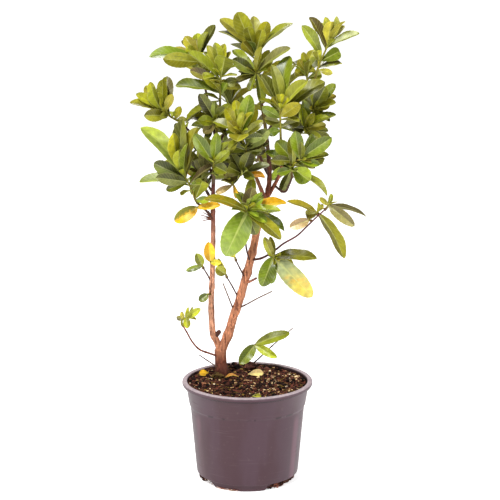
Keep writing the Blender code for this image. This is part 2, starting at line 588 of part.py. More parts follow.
def pot_inner_radius(height):
    low, high = POT_BODY_RADIUS
    collar_low, collar_high = POT_COLLAR_RADIUS
    if height <= POT_COLLAR_HEIGHT:
        share = (height - POT_FOOT_HEIGHT) / (POT_COLLAR_HEIGHT - POT_FOOT_HEIGHT)
        return low + (high - low) * share - POT_WALL
    share = (height - POT_COLLAR_HEIGHT) / (POT_COLLAR_TOP - POT_COLLAR_HEIGHT)
    return collar_low + (collar_high - collar_low) * share - POT_WALL


def make_pot(material):
    """The turned pot with its rolled rim and collar, and three drain notches under its foot."""
    low, high = POT_BODY_RADIUS
    collar_low, collar_high = POT_COLLAR_RADIUS
    step = POT_COLLAR_HEIGHT
    floor = POT_FOOT_HEIGHT + 0.0005
    profile = [
        (0.0, 0.0), (POT_FOOT_RADIUS, 0.0), (POT_FOOT_RADIUS + 0.0006, POT_FOOT_HEIGHT),
        (low - 0.0006, POT_FOOT_HEIGHT), (low, POT_FOOT_HEIGHT + 0.0012), (high, step),
        (collar_low, step + 0.0022),
        (collar_high, POT_COLLAR_TOP), (POT_RIM_RADIUS - 0.0016, POT_COLLAR_TOP),
        (POT_RIM_RADIUS, POT_COLLAR_TOP + 0.0018), (POT_RIM_RADIUS, POT_HEIGHT - 0.0016),
        (POT_RIM_RADIUS - 0.0018, POT_HEIGHT), (POT_MOUTH_RADIUS, POT_HEIGHT - 0.0008),
        (collar_high - POT_WALL, POT_COLLAR_TOP - 0.0008),
        (collar_low - POT_WALL, step + 0.0022), (high - POT_WALL, step - 0.0004),
        (low - POT_WALL, floor + 0.0014), (low - POT_WALL - 0.0015, floor),
        (POT_WELL_RADIUS + 0.0004, floor), (POT_WELL_RADIUS, 0.0018), (0.0, 0.0018),
    ]
    pot = add_object("pot", as_mesh("pot", turned(profile, POT_SIDES)), bpy.context.scene.collection)
    cutters = []
    for angle in NOTCH_ANGLES:
        cutters.append(notch_cutter(angle))
        cutters.append(drain_cutter(angle))
    cut(pot, cutters)
    pot.data.materials.clear()
    pot.data.materials.append(material)
    return pot


def notch_cutter(angle):
    """A wedge of a ring, swept round the foot, that opens the base up to the drain hole."""
    shape = bmesh.new()
    radii = (NOTCH_INNER_RADIUS, POT_FOOT_RADIUS + 0.002)
    heights = (-0.002, NOTCH_HEIGHT)
    start = math.radians(angle - NOTCH_SPAN / 2.0)
    corners = [Vector((radius, 0.0, height)) for radius, height in
               ((radii[0], heights[0]), (radii[1], heights[0]), (radii[1], heights[1]),
                (radii[0], heights[1]))]
    turn = Matrix.Rotation(start, 3, "Z")
    section = shape.faces.new([shape.verts.new(turn @ corner) for corner in corners])
    bmesh.ops.spin(shape, geom=[section], cent=(0.0, 0.0, 0.0), axis=(0.0, 0.0, 1.0),
                   angle=math.radians(NOTCH_SPAN), steps=5)
    bmesh.ops.recalc_face_normals(shape, faces=shape.faces)
    return as_mesh("notch", shape)


def drain_cutter(angle):
    turn = Matrix.Rotation(math.radians(angle), 4, "Z")
    shape = bmesh.new()
    size = Matrix.Diagonal((*DRAIN_SIZE, 0.012, 1.0))
    bmesh.ops.create_cube(shape, size=1.0,
                          matrix=turn @ Matrix.Translation((DRAIN_RADIUS, 0.0, 0.012)) @ size)
    return as_mesh("drain", shape)


def make_soil(holes, material):
    """The filled soil, with roots that hang through the drain holes and plain holes for stems."""
    floor = POT_FOOT_HEIGHT + 0.0005 + SEAT_GAP
    step = POT_COLLAR_HEIGHT
    top = SOIL_EDGE_HEIGHT
    well = POT_WELL_RADIUS - SEAT_GAP
    slack = SEAT_GAP + 0.0003
    profile = [(0.0, 0.0018 + SEAT_GAP), (well - 0.0006, 0.0018 + SEAT_GAP), (well - 0.0006, floor),
               (pot_inner_radius(POT_FOOT_HEIGHT) - 0.0022, floor),
               (pot_inner_radius(floor + 0.0016) - slack, floor + 0.0018),
               (pot_inner_radius(step) - slack - 0.0002, step - 0.0006),
               (pot_inner_radius(step + 0.0022) - slack, step + 0.0032)]
    edge = pot_inner_radius(top) - slack
    rings = (1.0, 0.80, 0.58, 0.36, 0.16)
    profile += [(edge * ring, top) for ring in rings] + [(0.0, top)]
    shape = turned(profile, SOIL_SIDES)
    for vert in shape.verts:
        if vert.co.z > top - 1e-5:
            vert.co.z = soil_height(vert.co.x, vert.co.y)
    soil = as_mesh("soil", shape)
    plugs = [root_plug(angle, floor) for angle in NOTCH_ANGLES]
    thing = fuse("soil", [soil] + plugs, material)
    cut(thing, [hole_cutter(*hole) for hole in holes])
    return thing


def root_plug(angle, floor):
    """A tuft of roots through a drain hole, down to just above the ground."""
    shape = turned([(0.0, 0.0015), (ROOT_PLUG_RADIUS * 0.45, 0.0015),
                    (ROOT_PLUG_RADIUS, 0.0060), (ROOT_PLUG_RADIUS, floor + 0.004),
                    (0.0, floor + 0.004)], 6)
    turn = Matrix.Rotation(math.radians(angle), 4, "Z")
    bmesh.ops.transform(shape, verts=shape.verts,
                        matrix=turn @ Matrix.Translation((DRAIN_RADIUS, 0.0, 0.0)))
    return as_mesh("roots", shape)


def hole_cutter(foot, radius, depth):
    """An upright round hole for a stem that stands in the soil."""
    sides = 10
    reach = (radius + SEAT_GAP) / math.cos(math.pi / sides)
    shape = turned([(0.0, -depth), (reach, -depth), (reach, 0.03), (0.0, 0.03)], sides)
    bmesh.ops.translate(shape, verts=shape.verts, vec=foot)
    return as_mesh("hole", shape)


def buried(line, depth):
    """A line whose first point is repeated below the soil, so that it stands in an upright hole."""
    foot = Vector((line[0].x, line[0].y, soil_height(line[0].x, line[0].y)))
    return [foot - UPRIGHT * depth, foot + UPRIGHT * 0.004] + line[1:], foot


def grow_wood(columns):
    """The lines and tubes of the woody stems, each starting inside its parent."""
    lines, radii, tubes = {}, {}, []
    foot = None
    for branch in BRANCHES:
        line = centre_line(branch.route)
        if branch.parent is None:
            line, foot = buried(line, ROOT_DEPTH)
        else:
            line[0] = nearest_on(lines[branch.parent], line[0])[0]
        lines[branch.name] = line
        radii[branch.name] = (branch.start_radius * MM, branch.end_radius * MM)
        sides = next(count for thick, count in WOOD_SIDES if branch.start_radius >= thick)
        tubes.append(tube(columns, line, *radii[branch.name], sides))
    return lines, radii, tubes, foot


def shoot_line(shoot, lines, radii):
    """A shoot's stem, from just clear of its parent's bark or cut end, and the way its foot faces."""
    line = centre_line(shoot.route)
    start, along, parent_heading = nearest_on(lines[shoot.parent], line[0])
    thick = radii[shoot.parent]
    parent_radius = thick[0] + (thick[1] - thick[0]) * along
    if along > 0.999:
        heading = parent_heading
        reach = SEAT_GAP
    else:
        heading = (line[0] - start).normalized()
        lean = heading.dot(parent_heading)
        reach = (parent_radius + SEAT_GAP + SHOOT_RADIUS[0] * abs(lean)) / math.sqrt(1.0 - lean * lean)
    first = start + heading * reach
    ahead = [point for point in line if (point - first).dot(heading) > 0.0015]
    return [first] + (ahead or [first + heading * 0.003]), heading


def point_from_end(line, distance):
    """The point a distance back from the end of a line, and the line's heading there."""
    for start, end in zip(line[-2::-1], line[:0:-1]):
        length = (end - start).length
        if distance <= length:
            return end.lerp(start, distance / length), (end - start).normalized()
        distance -= length
    start, end = line[0], line[1]
    return start.lerp(end, 0.35), (end - start).normalized()


def leaf_upper(axis, heading, roll):
    """The way the upper face of a leaf looks: towards its shoot's axis, or up where it droops."""
    wanted = axis + UPRIGHT * (0.35 + max(0.0, -heading.z))
    upper = wanted - heading * wanted.dot(heading)
    if upper.length < 1e-4:
        upper = heading.orthogonal()
    return Matrix.Rotation(math.radians(roll), 3, heading) @ upper.normalized()


def shown_leaf(axis, heading, shown_width, length, roll):
    """The upper side and true width of a leaf that shows the given width from the front."""
    natural = leaf_upper(axis, heading, 0.0)
    facing = VIEWER - heading * VIEWER.dot(heading)
    width = max(shown_width, LEAF_PROPORTION * length)
    if facing.length < 0.3:
        return Matrix.Rotation(math.radians(roll), 3, heading) @ natural, width
    facing.normalize()
    aside = heading.cross(facing)
    aside *= math.copysign(1.0, aside.dot(natural))
    share = min(1.0, shown_width / width)
    upper = aside * math.sqrt(1.0 - share * share)
    upper += facing * share * math.copysign(1.0, facing.dot(natural) + 0.05)
    return Matrix.Rotation(math.radians(roll), 3, heading) @ upper, width


def named_leaf_trials():
    """Small changes to a leaf, mildest first: mm aside, mm back, mm up, degrees of roll."""
    trials = [(0, 0, 0, 0)]
    for back in (4, -4, 8, -8, 12, -12, 16, -16, 22, -22):
        for roll in (0, 25, -25):
            trials.append((0, back, 0, roll))
    for aside in (3, -3, 6, -6):
        for up in (0, 3, -3):
            for back in (0, 8, -8, 16, -16):
                trials.append((aside, back, up, 0))
    return trials


def fill_leaf_trials():
    """Small changes to a rule-placed leaf: degrees round, degrees of tilt, share of length."""
    trials = []
    for share in (1.0, 0.85, 0.7):
        for tilt in (0, 10, -10, 20):
            for turn in (0, 12, -12, 24, -24, 38, -38):
                trials.append((turn, tilt, share))
    return trials


class LeafPlacer:
    """Places leaves clear of all that other nodes hold, and keeps each node's meshes."""

    def __init__(self, blades, crowd):
        self.blades = blades
        self.crowd = crowd
        self.outer_parts = {}
        self.skipped = []

    def try_leaf(self, node, meshes, root, tip, upper, width, arch):
        trial = blade(self.blades, root, tip, upper, width, arch, LEAF_CLEARANCE)
        clear = not self.crowd.touches(node, trial)
        bpy.data.meshes.remove(trial)
        outer = blade(self.blades, root.lerp(tip, BLADE_CLEAR_OF_OWN), tip, upper, width, arch)
        clear = clear and not self.own(node).touches(None, outer)
        if clear:
            leaf = blade(self.blades, root, tip, upper, width, arch)
            self.crowd.add(node, leaf)
            self.own(node).add(node, outer)
            meshes.append(leaf)
        bpy.data.meshes.remove(outer)
        return clear

    def own(self, node):
        """The outer parts of a node's own leaves, which its next leaves don't cross."""
        return self.outer_parts.setdefault(node, Crowd())

    def named_leaf(self, node, meshes, line, leaf):
        column, row, back, width, down = leaf
        root, axis = point_from_end(line, down * MM)
        end_back = line[-1].y / MM
        for aside, deeper, higher, roll in named_leaf_trials():
            tip = seen(column, row, end_back + back + deeper)
            tip += Vector((aside, 0.0, higher)) * MM
            length = (tip - root).length
            heading = (tip - root) / length
            upper, true_width = shown_leaf(axis, heading, width * MM, length, roll)
            if self.try_leaf(node, meshes, root, tip, upper, true_width, LEAF_ARCH):
                return
        self.skipped.append((node, leaf))

    def fill_leaves(self, node, meshes, line, count, all_round, rng):
        step = min(0.0032, 0.8 * (line[-1] - line[0]).length / max(count, 1))
        for number in range(count):
            root, axis = point_from_end(line, 0.001 + step * number)
            share = (number + 0.5) / count
            length = FILL_LEAF_LENGTH[0] + (FILL_LEAF_LENGTH[1] - FILL_LEAF_LENGTH[0]) * share
            length *= rng.uniform(0.9, 1.1)
            width = length * LEAF_PROPORTION * rng.uniform(0.85, 1.15)
            tilt = 22.0 + 58.0 * share + rng.uniform(-6.0, 6.0)
            if all_round:
                azimuth = number * GOLDEN_ANGLE + rng.uniform(-10.0, 10.0)
            else:
                azimuth = 90.0 + (number - (count - 1) / 2.0) * 130.0 / count
            self.fill_leaf(node, meshes, root, axis, azimuth, tilt, length, width)

    def fill_leaf(self, node, meshes, root, axis, azimuth, tilt, length, width):
        for turn, lean, share in fill_leaf_trials():
            around = math.radians(azimuth + turn)
            outward = Vector((math.cos(around), math.sin(around), 0.0))
            outward = (outward - axis * outward.dot(axis)).normalized()
            angle = math.radians(tilt + lean)
            heading = axis * math.cos(angle) + outward * math.sin(angle)
            tip = root + heading * length * share
            upper = leaf_upper(axis, heading, 0.0)
            if self.try_leaf(node, meshes, root, tip, upper, width * share, LEAF_ARCH):
                return
        self.skipped.append((node, "fill"))


def make_plant(columns, blades, crowd, materials):
    """The woody stems and every leafy shoot, fused node by node."""
    lines, radii, wood, foot = grow_wood(columns)
    shoots = {}
    for shoot in SHOOTS + YELLOW_LEAVES:
        line, heading = shoot_line(shoot, lines, radii)
        stem = tube(columns, line, *SHOOT_RADIUS, SHOOT_SIDES, heading)
        shoots[shoot.name] = (line, [stem])
    holes = [(foot, radii["trunk"][0], ROOT_DEPTH + SEAT_GAP)]
    for name, route, thick in (("low_shoot", LOW_SHOOT_ROUTE, LOW_STEM_RADIUS),
                               ("low_twig", LOW_TWIG_ROUTE, LOW_TWIG_RADIUS)):
        line, low_foot = buried(centre_line(route), LOW_STEM_DEPTH)
        shoots[name] = (line, [tube(columns, line, *thick, 5)])
        holes.append((low_foot, thick[0], LOW_STEM_DEPTH + SEAT_GAP))
    soil = make_soil(holes, materials["soil"])
    crowd.add("soil", soil.data)
    for mesh in wood:
        crowd.add("woody_stems", mesh)
    for name, (line, meshes) in shoots.items():
        if crowd.touches(name, meshes[0]):
            print("stem of", name, "touches", crowd.touches(name, meshes[0]))
        crowd.add(name, meshes[0])
    placer = LeafPlacer(blades, crowd)
    for leaf in LOW_SHOOT_LEAVES:
        placer.named_leaf("low_shoot", shoots["low_shoot"][1], shoots["low_shoot"][0], leaf)
    for shoot in YELLOW_LEAVES + SHOOTS:
        line, meshes = shoots[shoot.name]
        for leaf in shoot.leaves:
            placer.named_leaf(shoot.name, meshes, line, leaf)
    rng = random.Random(12)
    for shoot in SHOOTS:
        line, meshes = shoots[shoot.name]
        placer.fill_leaves(shoot.name, meshes, line, shoot.fill, not shoot.leaves, rng)
    fuse("woody_stems", wood, materials["bark"])
    for shoot in SHOOTS + YELLOW_LEAVES:
        fuse(shoot.name, shoots[shoot.name][1], materials[shoot.tone])
    fuse("low_shoot", shoots["low_shoot"][1], materials[MATURE])
    fuse("low_twig", shoots["low_twig"][1], materials["bark"])
    leaves = sum(len(meshes) - 1 for line, meshes in shoots.values())
    print("leaves", leaves, "skipped", len(placer.skipped), placer.skipped)


def make_fallen(blades, crowd, materials):
    """Four fallen leaves, each lowered until it lies just clear of the soil."""
    for fallen in FALLEN:
        heading = Matrix.Rotation(math.radians(fallen.heading), 3, "Z") @ Vector((1.0, 0.0, 0.0))
        middle = Vector((fallen.across * MM, fallen.back * MM, 0.0))
        root = middle - heading * fallen.length * MM / 2.0
        tip = middle + heading * fallen.length * MM / 2.0
        upper = Matrix.Rotation(math.radians(fallen.tilt), 3, "X") @ UPRIGHT
        for end in (root, tip):
            end.z = soil_height(end.x, end.y) + FALLEN_DROP
        while True:
            lower = [end - UPRIGHT * FALLEN_STEP for end in (root, tip)]
            trial = blade(blades, *lower, upper, fallen.width * MM, fallen.arch, LEAF_CLEARANCE)
            if crowd.touches(fallen.name, trial):
                break
            root, tip = lower
        leaf = blade(blades, root, tip, upper, fallen.width * MM, fallen.arch)
        fuse(fallen.name, [leaf], materials[fallen.tone])


def main():
    clear_scene()
    materials = {name: make_material(name) for name in COLOURS}
    columns = {}
    blades = {len(outline) - 1: unit_blade(len(outline) - 1)
              for outline in (LEAF_OUTLINE, LARGE_LEAF_OUTLINE)}
    crowd = Crowd()
    pot = make_pot(materials["pot_plastic"])
    crowd.add("pot", pot.data)
    make_plant(columns, blades, crowd, materials)
    make_fallen(blades, crowd, materials)
    count = sum(len(face.vertices) - 2 for thing in bpy.data.objects for face in thing.data.polygons)
    print("nodes", len(bpy.data.objects), "triangles", count)


main()
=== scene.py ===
# %% [markdown]
# # A potted escallonia
# This lesson dresses a plain solid model of a young escallonia in its nursery pot. The solids fix
# where every stem, leaf and wall is. Here each one gets the shape and finish of the real thing:
# serrated leaves with a rib, knotted bark, crumbly soil and moulded plastic.

# %% Load the solids
import json
import math
import random
from collections import namedtuple

import bmesh
import bpy
from mathutils import Matrix, Vector, geometry, noise
from mathutils.bvhtree import BVHTree

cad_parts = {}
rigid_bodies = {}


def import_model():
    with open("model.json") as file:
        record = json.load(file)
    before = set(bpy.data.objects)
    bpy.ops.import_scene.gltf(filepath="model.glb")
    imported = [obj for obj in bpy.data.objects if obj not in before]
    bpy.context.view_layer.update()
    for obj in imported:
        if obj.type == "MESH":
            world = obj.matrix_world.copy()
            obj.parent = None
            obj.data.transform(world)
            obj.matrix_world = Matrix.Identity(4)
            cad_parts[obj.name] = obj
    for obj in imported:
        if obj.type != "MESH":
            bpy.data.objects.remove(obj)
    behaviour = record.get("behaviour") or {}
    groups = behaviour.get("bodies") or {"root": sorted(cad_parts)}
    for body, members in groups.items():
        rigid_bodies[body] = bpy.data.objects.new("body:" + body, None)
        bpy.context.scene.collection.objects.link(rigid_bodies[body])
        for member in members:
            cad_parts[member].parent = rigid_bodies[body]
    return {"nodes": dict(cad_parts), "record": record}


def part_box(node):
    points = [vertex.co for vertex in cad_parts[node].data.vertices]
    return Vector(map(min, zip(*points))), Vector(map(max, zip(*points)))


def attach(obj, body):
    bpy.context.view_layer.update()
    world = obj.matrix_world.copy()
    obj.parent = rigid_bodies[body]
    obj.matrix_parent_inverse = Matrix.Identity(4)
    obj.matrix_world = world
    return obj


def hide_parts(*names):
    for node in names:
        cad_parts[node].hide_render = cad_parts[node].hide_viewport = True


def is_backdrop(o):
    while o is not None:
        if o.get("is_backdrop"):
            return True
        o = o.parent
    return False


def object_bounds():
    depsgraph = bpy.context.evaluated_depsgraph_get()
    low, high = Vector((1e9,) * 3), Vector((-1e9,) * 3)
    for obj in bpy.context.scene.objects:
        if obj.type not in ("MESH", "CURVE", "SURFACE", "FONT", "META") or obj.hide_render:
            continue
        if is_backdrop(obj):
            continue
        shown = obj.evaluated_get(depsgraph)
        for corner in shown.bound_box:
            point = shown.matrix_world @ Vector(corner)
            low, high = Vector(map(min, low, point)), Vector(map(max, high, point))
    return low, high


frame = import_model()
cad_low, cad_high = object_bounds()
slot_of_node = {part["node"]: part["material_slot"] for part in frame["record"]["subparts"]}
print("solids:", len(frame["nodes"]), "size in mm:", [round(side * 1000) for side in cad_high - cad_low])

# %% [markdown]
# The camera stands 2.2 m in front of the plant and looks down a little, as in the picture of it.
# A long lens keeps the pot's sides nearly parallel. Places on the plant are easiest to name by the
# column and row where the camera shows them, with a depth in millimetres behind the pot's axis, so
# the same camera also gives a function that turns such a place into a point in the room.

# %% Set up the camera
MM = 0.001
UPRIGHT = Vector((0.0, 0.0, 1.0))
VIEW_DISTANCE = 2.2
VIEW_PITCH = math.radians(12.5)
VIEW_AIM = Vector((0.0035, 0.0, 0.305))
VIEW_SIZE = 500.0
VIEW_CENTRE = VIEW_SIZE / 2.0
VIEW_FOCAL = 1713.95
FILM_WIDTH = 36.0
FORWARD = Vector((0.0, math.cos(VIEW_PITCH), -math.sin(VIEW_PITCH)))
UPWARD = Vector((0.0, math.sin(VIEW_PITCH), math.cos(VIEW_PITCH)))
EYE = VIEW_AIM - VIEW_DISTANCE * FORWARD


def in_scene(name, data):
    """A new object in the scene, for a mesh, a camera or a light."""
    thing = bpy.data.objects.new(name, data)
    bpy.context.scene.collection.objects.link(thing)
    return thing


camera = in_scene("camera", bpy.data.cameras.new("camera"))
camera.data.sensor_width = FILM_WIDTH
camera.data.lens = VIEW_FOCAL * FILM_WIDTH / VIEW_SIZE
camera.location = EYE
camera.rotation_euler = (math.pi / 2.0 - VIEW_PITCH, 0.0, 0.0)
bpy.context.scene.camera = camera


def seen(column, row, back):
    """The point that shows at a column and row of the front view, back mm behind the pot's axis."""
    across = Vector((1.0, 0.0, 0.0)) * (column - VIEW_CENTRE) / VIEW_FOCAL
    ray = FORWARD + across + UPWARD * (VIEW_CENTRE - row) / VIEW_FOCAL
    return EYE + ray * ((back * MM - EYE.y) / ray.y)


print("lens in mm:", round(camera.data.lens, 1))

# %% [markdown]
# No two leaves of a shrub have the same colour: young ones are lime, old ones deep green, and a few
# have yellowed or dried. A texture could hold all that, but here each leaf is given a tone by name,
# because a name is easy to read in a list and to change for one leaf.

# %% Name the tones of the leaves
LIME, LIGHT, FRESH, LEAF, GREEN, VIVID = "lime", "light", "fresh", "leaf", "green", "vivid"
DEEP, DARK, PALE, GREY, OLIVE, BRONZE = "deep", "dark", "pale", "grey", "olive", "bronze"
LEMON, GOLD, RUSTY, TURNING, TAN = "lemon", "gold", "rusty", "turning", "tan"
MINT, SAGE, DUSKY, HALF_GOLD, ORANGE = "mint", "sage", "dusky", "half_gold", "orange"
CREAM, BROWN, FADING, PAINTED_GLOW, SHEEN_SILVER = "cream", "brown", "fading", "glow", "silver"

# The tones as they look on a screen, in shares of full red, green and blue. Each holds the leaf's
# own colour together with the light or shade on it, so the darker ones are partly painted shade.
TONES = {
    LIME: (0.76, 0.77, 0.18),
    LIGHT: (0.71, 0.70, 0.22),
    FRESH: (0.66, 0.64, 0.12),
    LEAF: (0.54, 0.54, 0.04),
    GREEN: (0.46, 0.53, 0.04),
    VIVID: (0.50, 0.59, 0.02),
    DEEP: (0.38, 0.40, 0.02),
    DARK: (0.30, 0.28, 0.02),
    PALE: (0.78, 0.75, 0.30),
    GREY: (0.57, 0.53, 0.36),
    MINT: (0.66, 0.74, 0.38),
    SAGE: (0.66, 0.69, 0.26),
    DUSKY: (0.47, 0.40, 0.28),
    OLIVE: (0.66, 0.60, 0.12),
    BRONZE: (0.43, 0.37, 0.09),
    LEMON: (0.97, 0.90, 0.18),
    GOLD: (1.00, 0.75, 0.01),
    HALF_GOLD: (1.00, 0.76, 0.02),
    RUSTY: (0.60, 0.57, 0.08),
    TURNING: (0.72, 0.76, 0.52),
    TAN: (0.78, 0.64, 0.44),
    CREAM: (0.98, 0.84, 0.57),
    BROWN: (0.84, 0.56, 0.22),
    FADING: (0.47, 0.55, 0.05),
    PAINTED_GLOW: (0.95, 0.97, 0.30),
    ORANGE: (0.98, 0.64, 0.08),
    SHEEN_SILVER: (0.80, 0.82, 0.66),
}
print("tones of leaves:", len(TONES))

# %% [markdown]
# A shrub can't be drawn by one rule: each fork has its own place. A script that makes forks would
# give a shrub, but not this one. So the wood is a list of branches, each with the route that it takes
# in front of the camera and its radius at both ends, in mm.

# %% List the branches
# A branch starts on the nearest point of its parent, and its route gives column, row and mm back
Branch = namedtuple("Branch", "name parent route start_radius end_radius")
BRANCHES = (
    Branch("trunk", None, ((222.4, 378, 21), (220.9, 364, 22), (220.4, 350, 22)), 7.4, 7.7),
    Branch("left_stem", "trunk",
           ((219, 352, 22), (217, 342, 20.5), (213.2, 334, 19), (212, 325, 18), (211.2, 304.6, 14),
            (211.8, 287.4, 10), (212.6, 264.4, 5), (213.2, 230, 0), (213, 200, -4),
            (213.6, 176, -6), (214.5, 150, -2), (217, 128, 0), (219.5, 110, -5)), 4.4, 1.7),
    Branch("right_stem", "trunk",
           ((222.8, 352, 22), (229, 332, 20), (233.4, 316.5, 17), (238.1, 304, 14), (245.3, 279.4, 10),
            (252.2, 253, 8), (257, 230, 6), (260, 216, 6), (267, 197, 8)), 6.0, 4.4),
    Branch("mid_left_branch", "right_stem",
           ((265, 200, 7), (260.5, 188, 0), (254.3, 172.6, -8), (248.5, 157, -17),
            (245, 148, -24)), 2.7, 1.7),
    Branch("mid_branch", "right_stem",
           ((267, 197, 8), (269, 184, 8), (269.5, 171.5, 10), (268, 150, 12), (265, 125, 12),
            (261, 100, 8), (256.5, 78, 4)), 3.2, 1.5),
    Branch("right_branch", "right_stem",
           ((266, 198, 8), (275, 184, 5), (280.9, 171, -4), (281.8, 156, -15), (281, 142, -25)),
           2.5, 1.6),
    Branch("far_right_branch", "right_branch",
           ((277, 180, 3), (287, 160, 8), (293, 146, 13), (301, 125, 16), (309, 100, 10),
            (314, 84, 4)), 2.0, 1.4),
    Branch("right_twig", "right_branch", ((274, 185, 6), (284, 192, -2), (289, 185, -14),
                                          (292.2, 177, -26)), 1.5, 1.2),
    Branch("back_left_branch", "left_stem",
           ((213, 202, -4), (206, 190, 22), (199, 174, 46), (192, 160, 66)), 2.0, 1.4),
    Branch("back_mid_branch", "mid_branch",
           ((269.3, 176, 9), (264, 166, 34), (257, 148, 60), (251, 132, 78)), 2.2, 1.4),
    Branch("back_right_branch", "right_branch",
           ((279, 174, 0), (288, 168, 26), (294, 153, 50), (299, 138, 70)), 2.0, 1.4),
    Branch("back_high_left_branch", "left_stem",
           ((214.2, 160, -4), (222, 138, 22), (230, 116, 40)), 1.8, 1.3),
    Branch("back_high_right_branch", "mid_branch",
           ((266, 135, 12), (276, 116, 30), (282, 100, 42)), 1.7, 1.3),
    Branch("left_low_branch", "left_stem",
           ((213.2, 219, -2), (206.5, 211, -10), (198, 203.5, -18)), 1.6, 1.4),
    Branch("left_high_branch", "left_stem",
           ((213.6, 178, -6), (205, 157, 6), (195, 138, 8), (185, 126.5, 2)), 1.8, 1.4),
    Branch("left_top_branch", "left_stem",
           ((215.5, 140, -2), (210.5, 112, 12), (206.5, 94, 16), (203.5, 80, 14)), 1.6, 1.3),
    Branch("bare_twig_right", "right_stem",
           ((238.5, 310.5, 15), (249.4, 302.8, 6), (257, 298.6, -1), (271.8, 291.4, -14)), 1.0, 0.8),
    Branch("bare_twig_left", "right_stem",
           ((234.5, 313, 16), (228.7, 297.7, 8), (223, 283.4, 2)), 1.0, 0.8),
    Branch("inner_twig", "right_stem",
           ((239.5, 300, 13), (231.6, 285.1, 2), (227, 277.5, -4)), 1.0, 0.9),
    Branch("left_spur", "left_stem",
           ((211.8, 284, 9), (208.5, 276.6, 4), (203.6, 268.5, -2)), 1.1, 0.9),
    Branch("yellowing_twig", "right_stem",
           ((245.6, 279, 10), (239, 266.6, -8), (236, 260.5, -14)), 1.1, 0.9),
    Branch("centre_twig", "right_stem",
           ((250, 262, 9), (246.2, 247.2, -16), (245.4, 230, -34), (246.4, 217, -44)), 1.2, 1.0),
    Branch("cut_spur", "right_stem", ((244, 284, 10), (251, 281, 2), (256.3, 278.2, -6)), 1.7, 1.4),
    Branch("long_twig", "right_stem",
           ((250.5, 260, 9), (262, 258, -4), (275.2, 250, -22), (283.2, 243.8, -28),
            (297, 235.7, -36), (306.5, 226.8, -40), (317.5, 216.3, -44), (324.5, 210, -46)),
           1.6, 0.9),
    Branch("low_left_twig", "trunk",
           ((221, 357, 23), (209.8, 353.4, 12), (199.4, 349.4, 4), (192, 341.4, -2),
            (186.8, 332.2, -6), (183, 326, -8)), 1.4, 1.0),
    Branch("low_bare_twig", "trunk",
           ((221.6, 369, 24), (213.2, 364.3, 14), (199.4, 355.1, 6)), 0.9, 0.7),
    Branch("knot", "left_stem", ((215, 336.5, 20), (219.4, 331.6, 16)), 3.4, 2.9),
)
print("branches:", len(BRANCHES))

# %% [markdown]
# A tuft only looks like itself when the leaves that show are where they should be. A particle system
# would scatter leaves quickly, but not there. So each shoot is listed with the route of its stem, how
# many leaves fill it up by a rule, and the tips of the leaves that show.

# %% List the shoots
YOUNG, MATURE, SHADED = "young_leaf", "mature_leaf", "shaded_leaf"
YELLOW, DRY = "yellow_leaf", "dry_leaf"
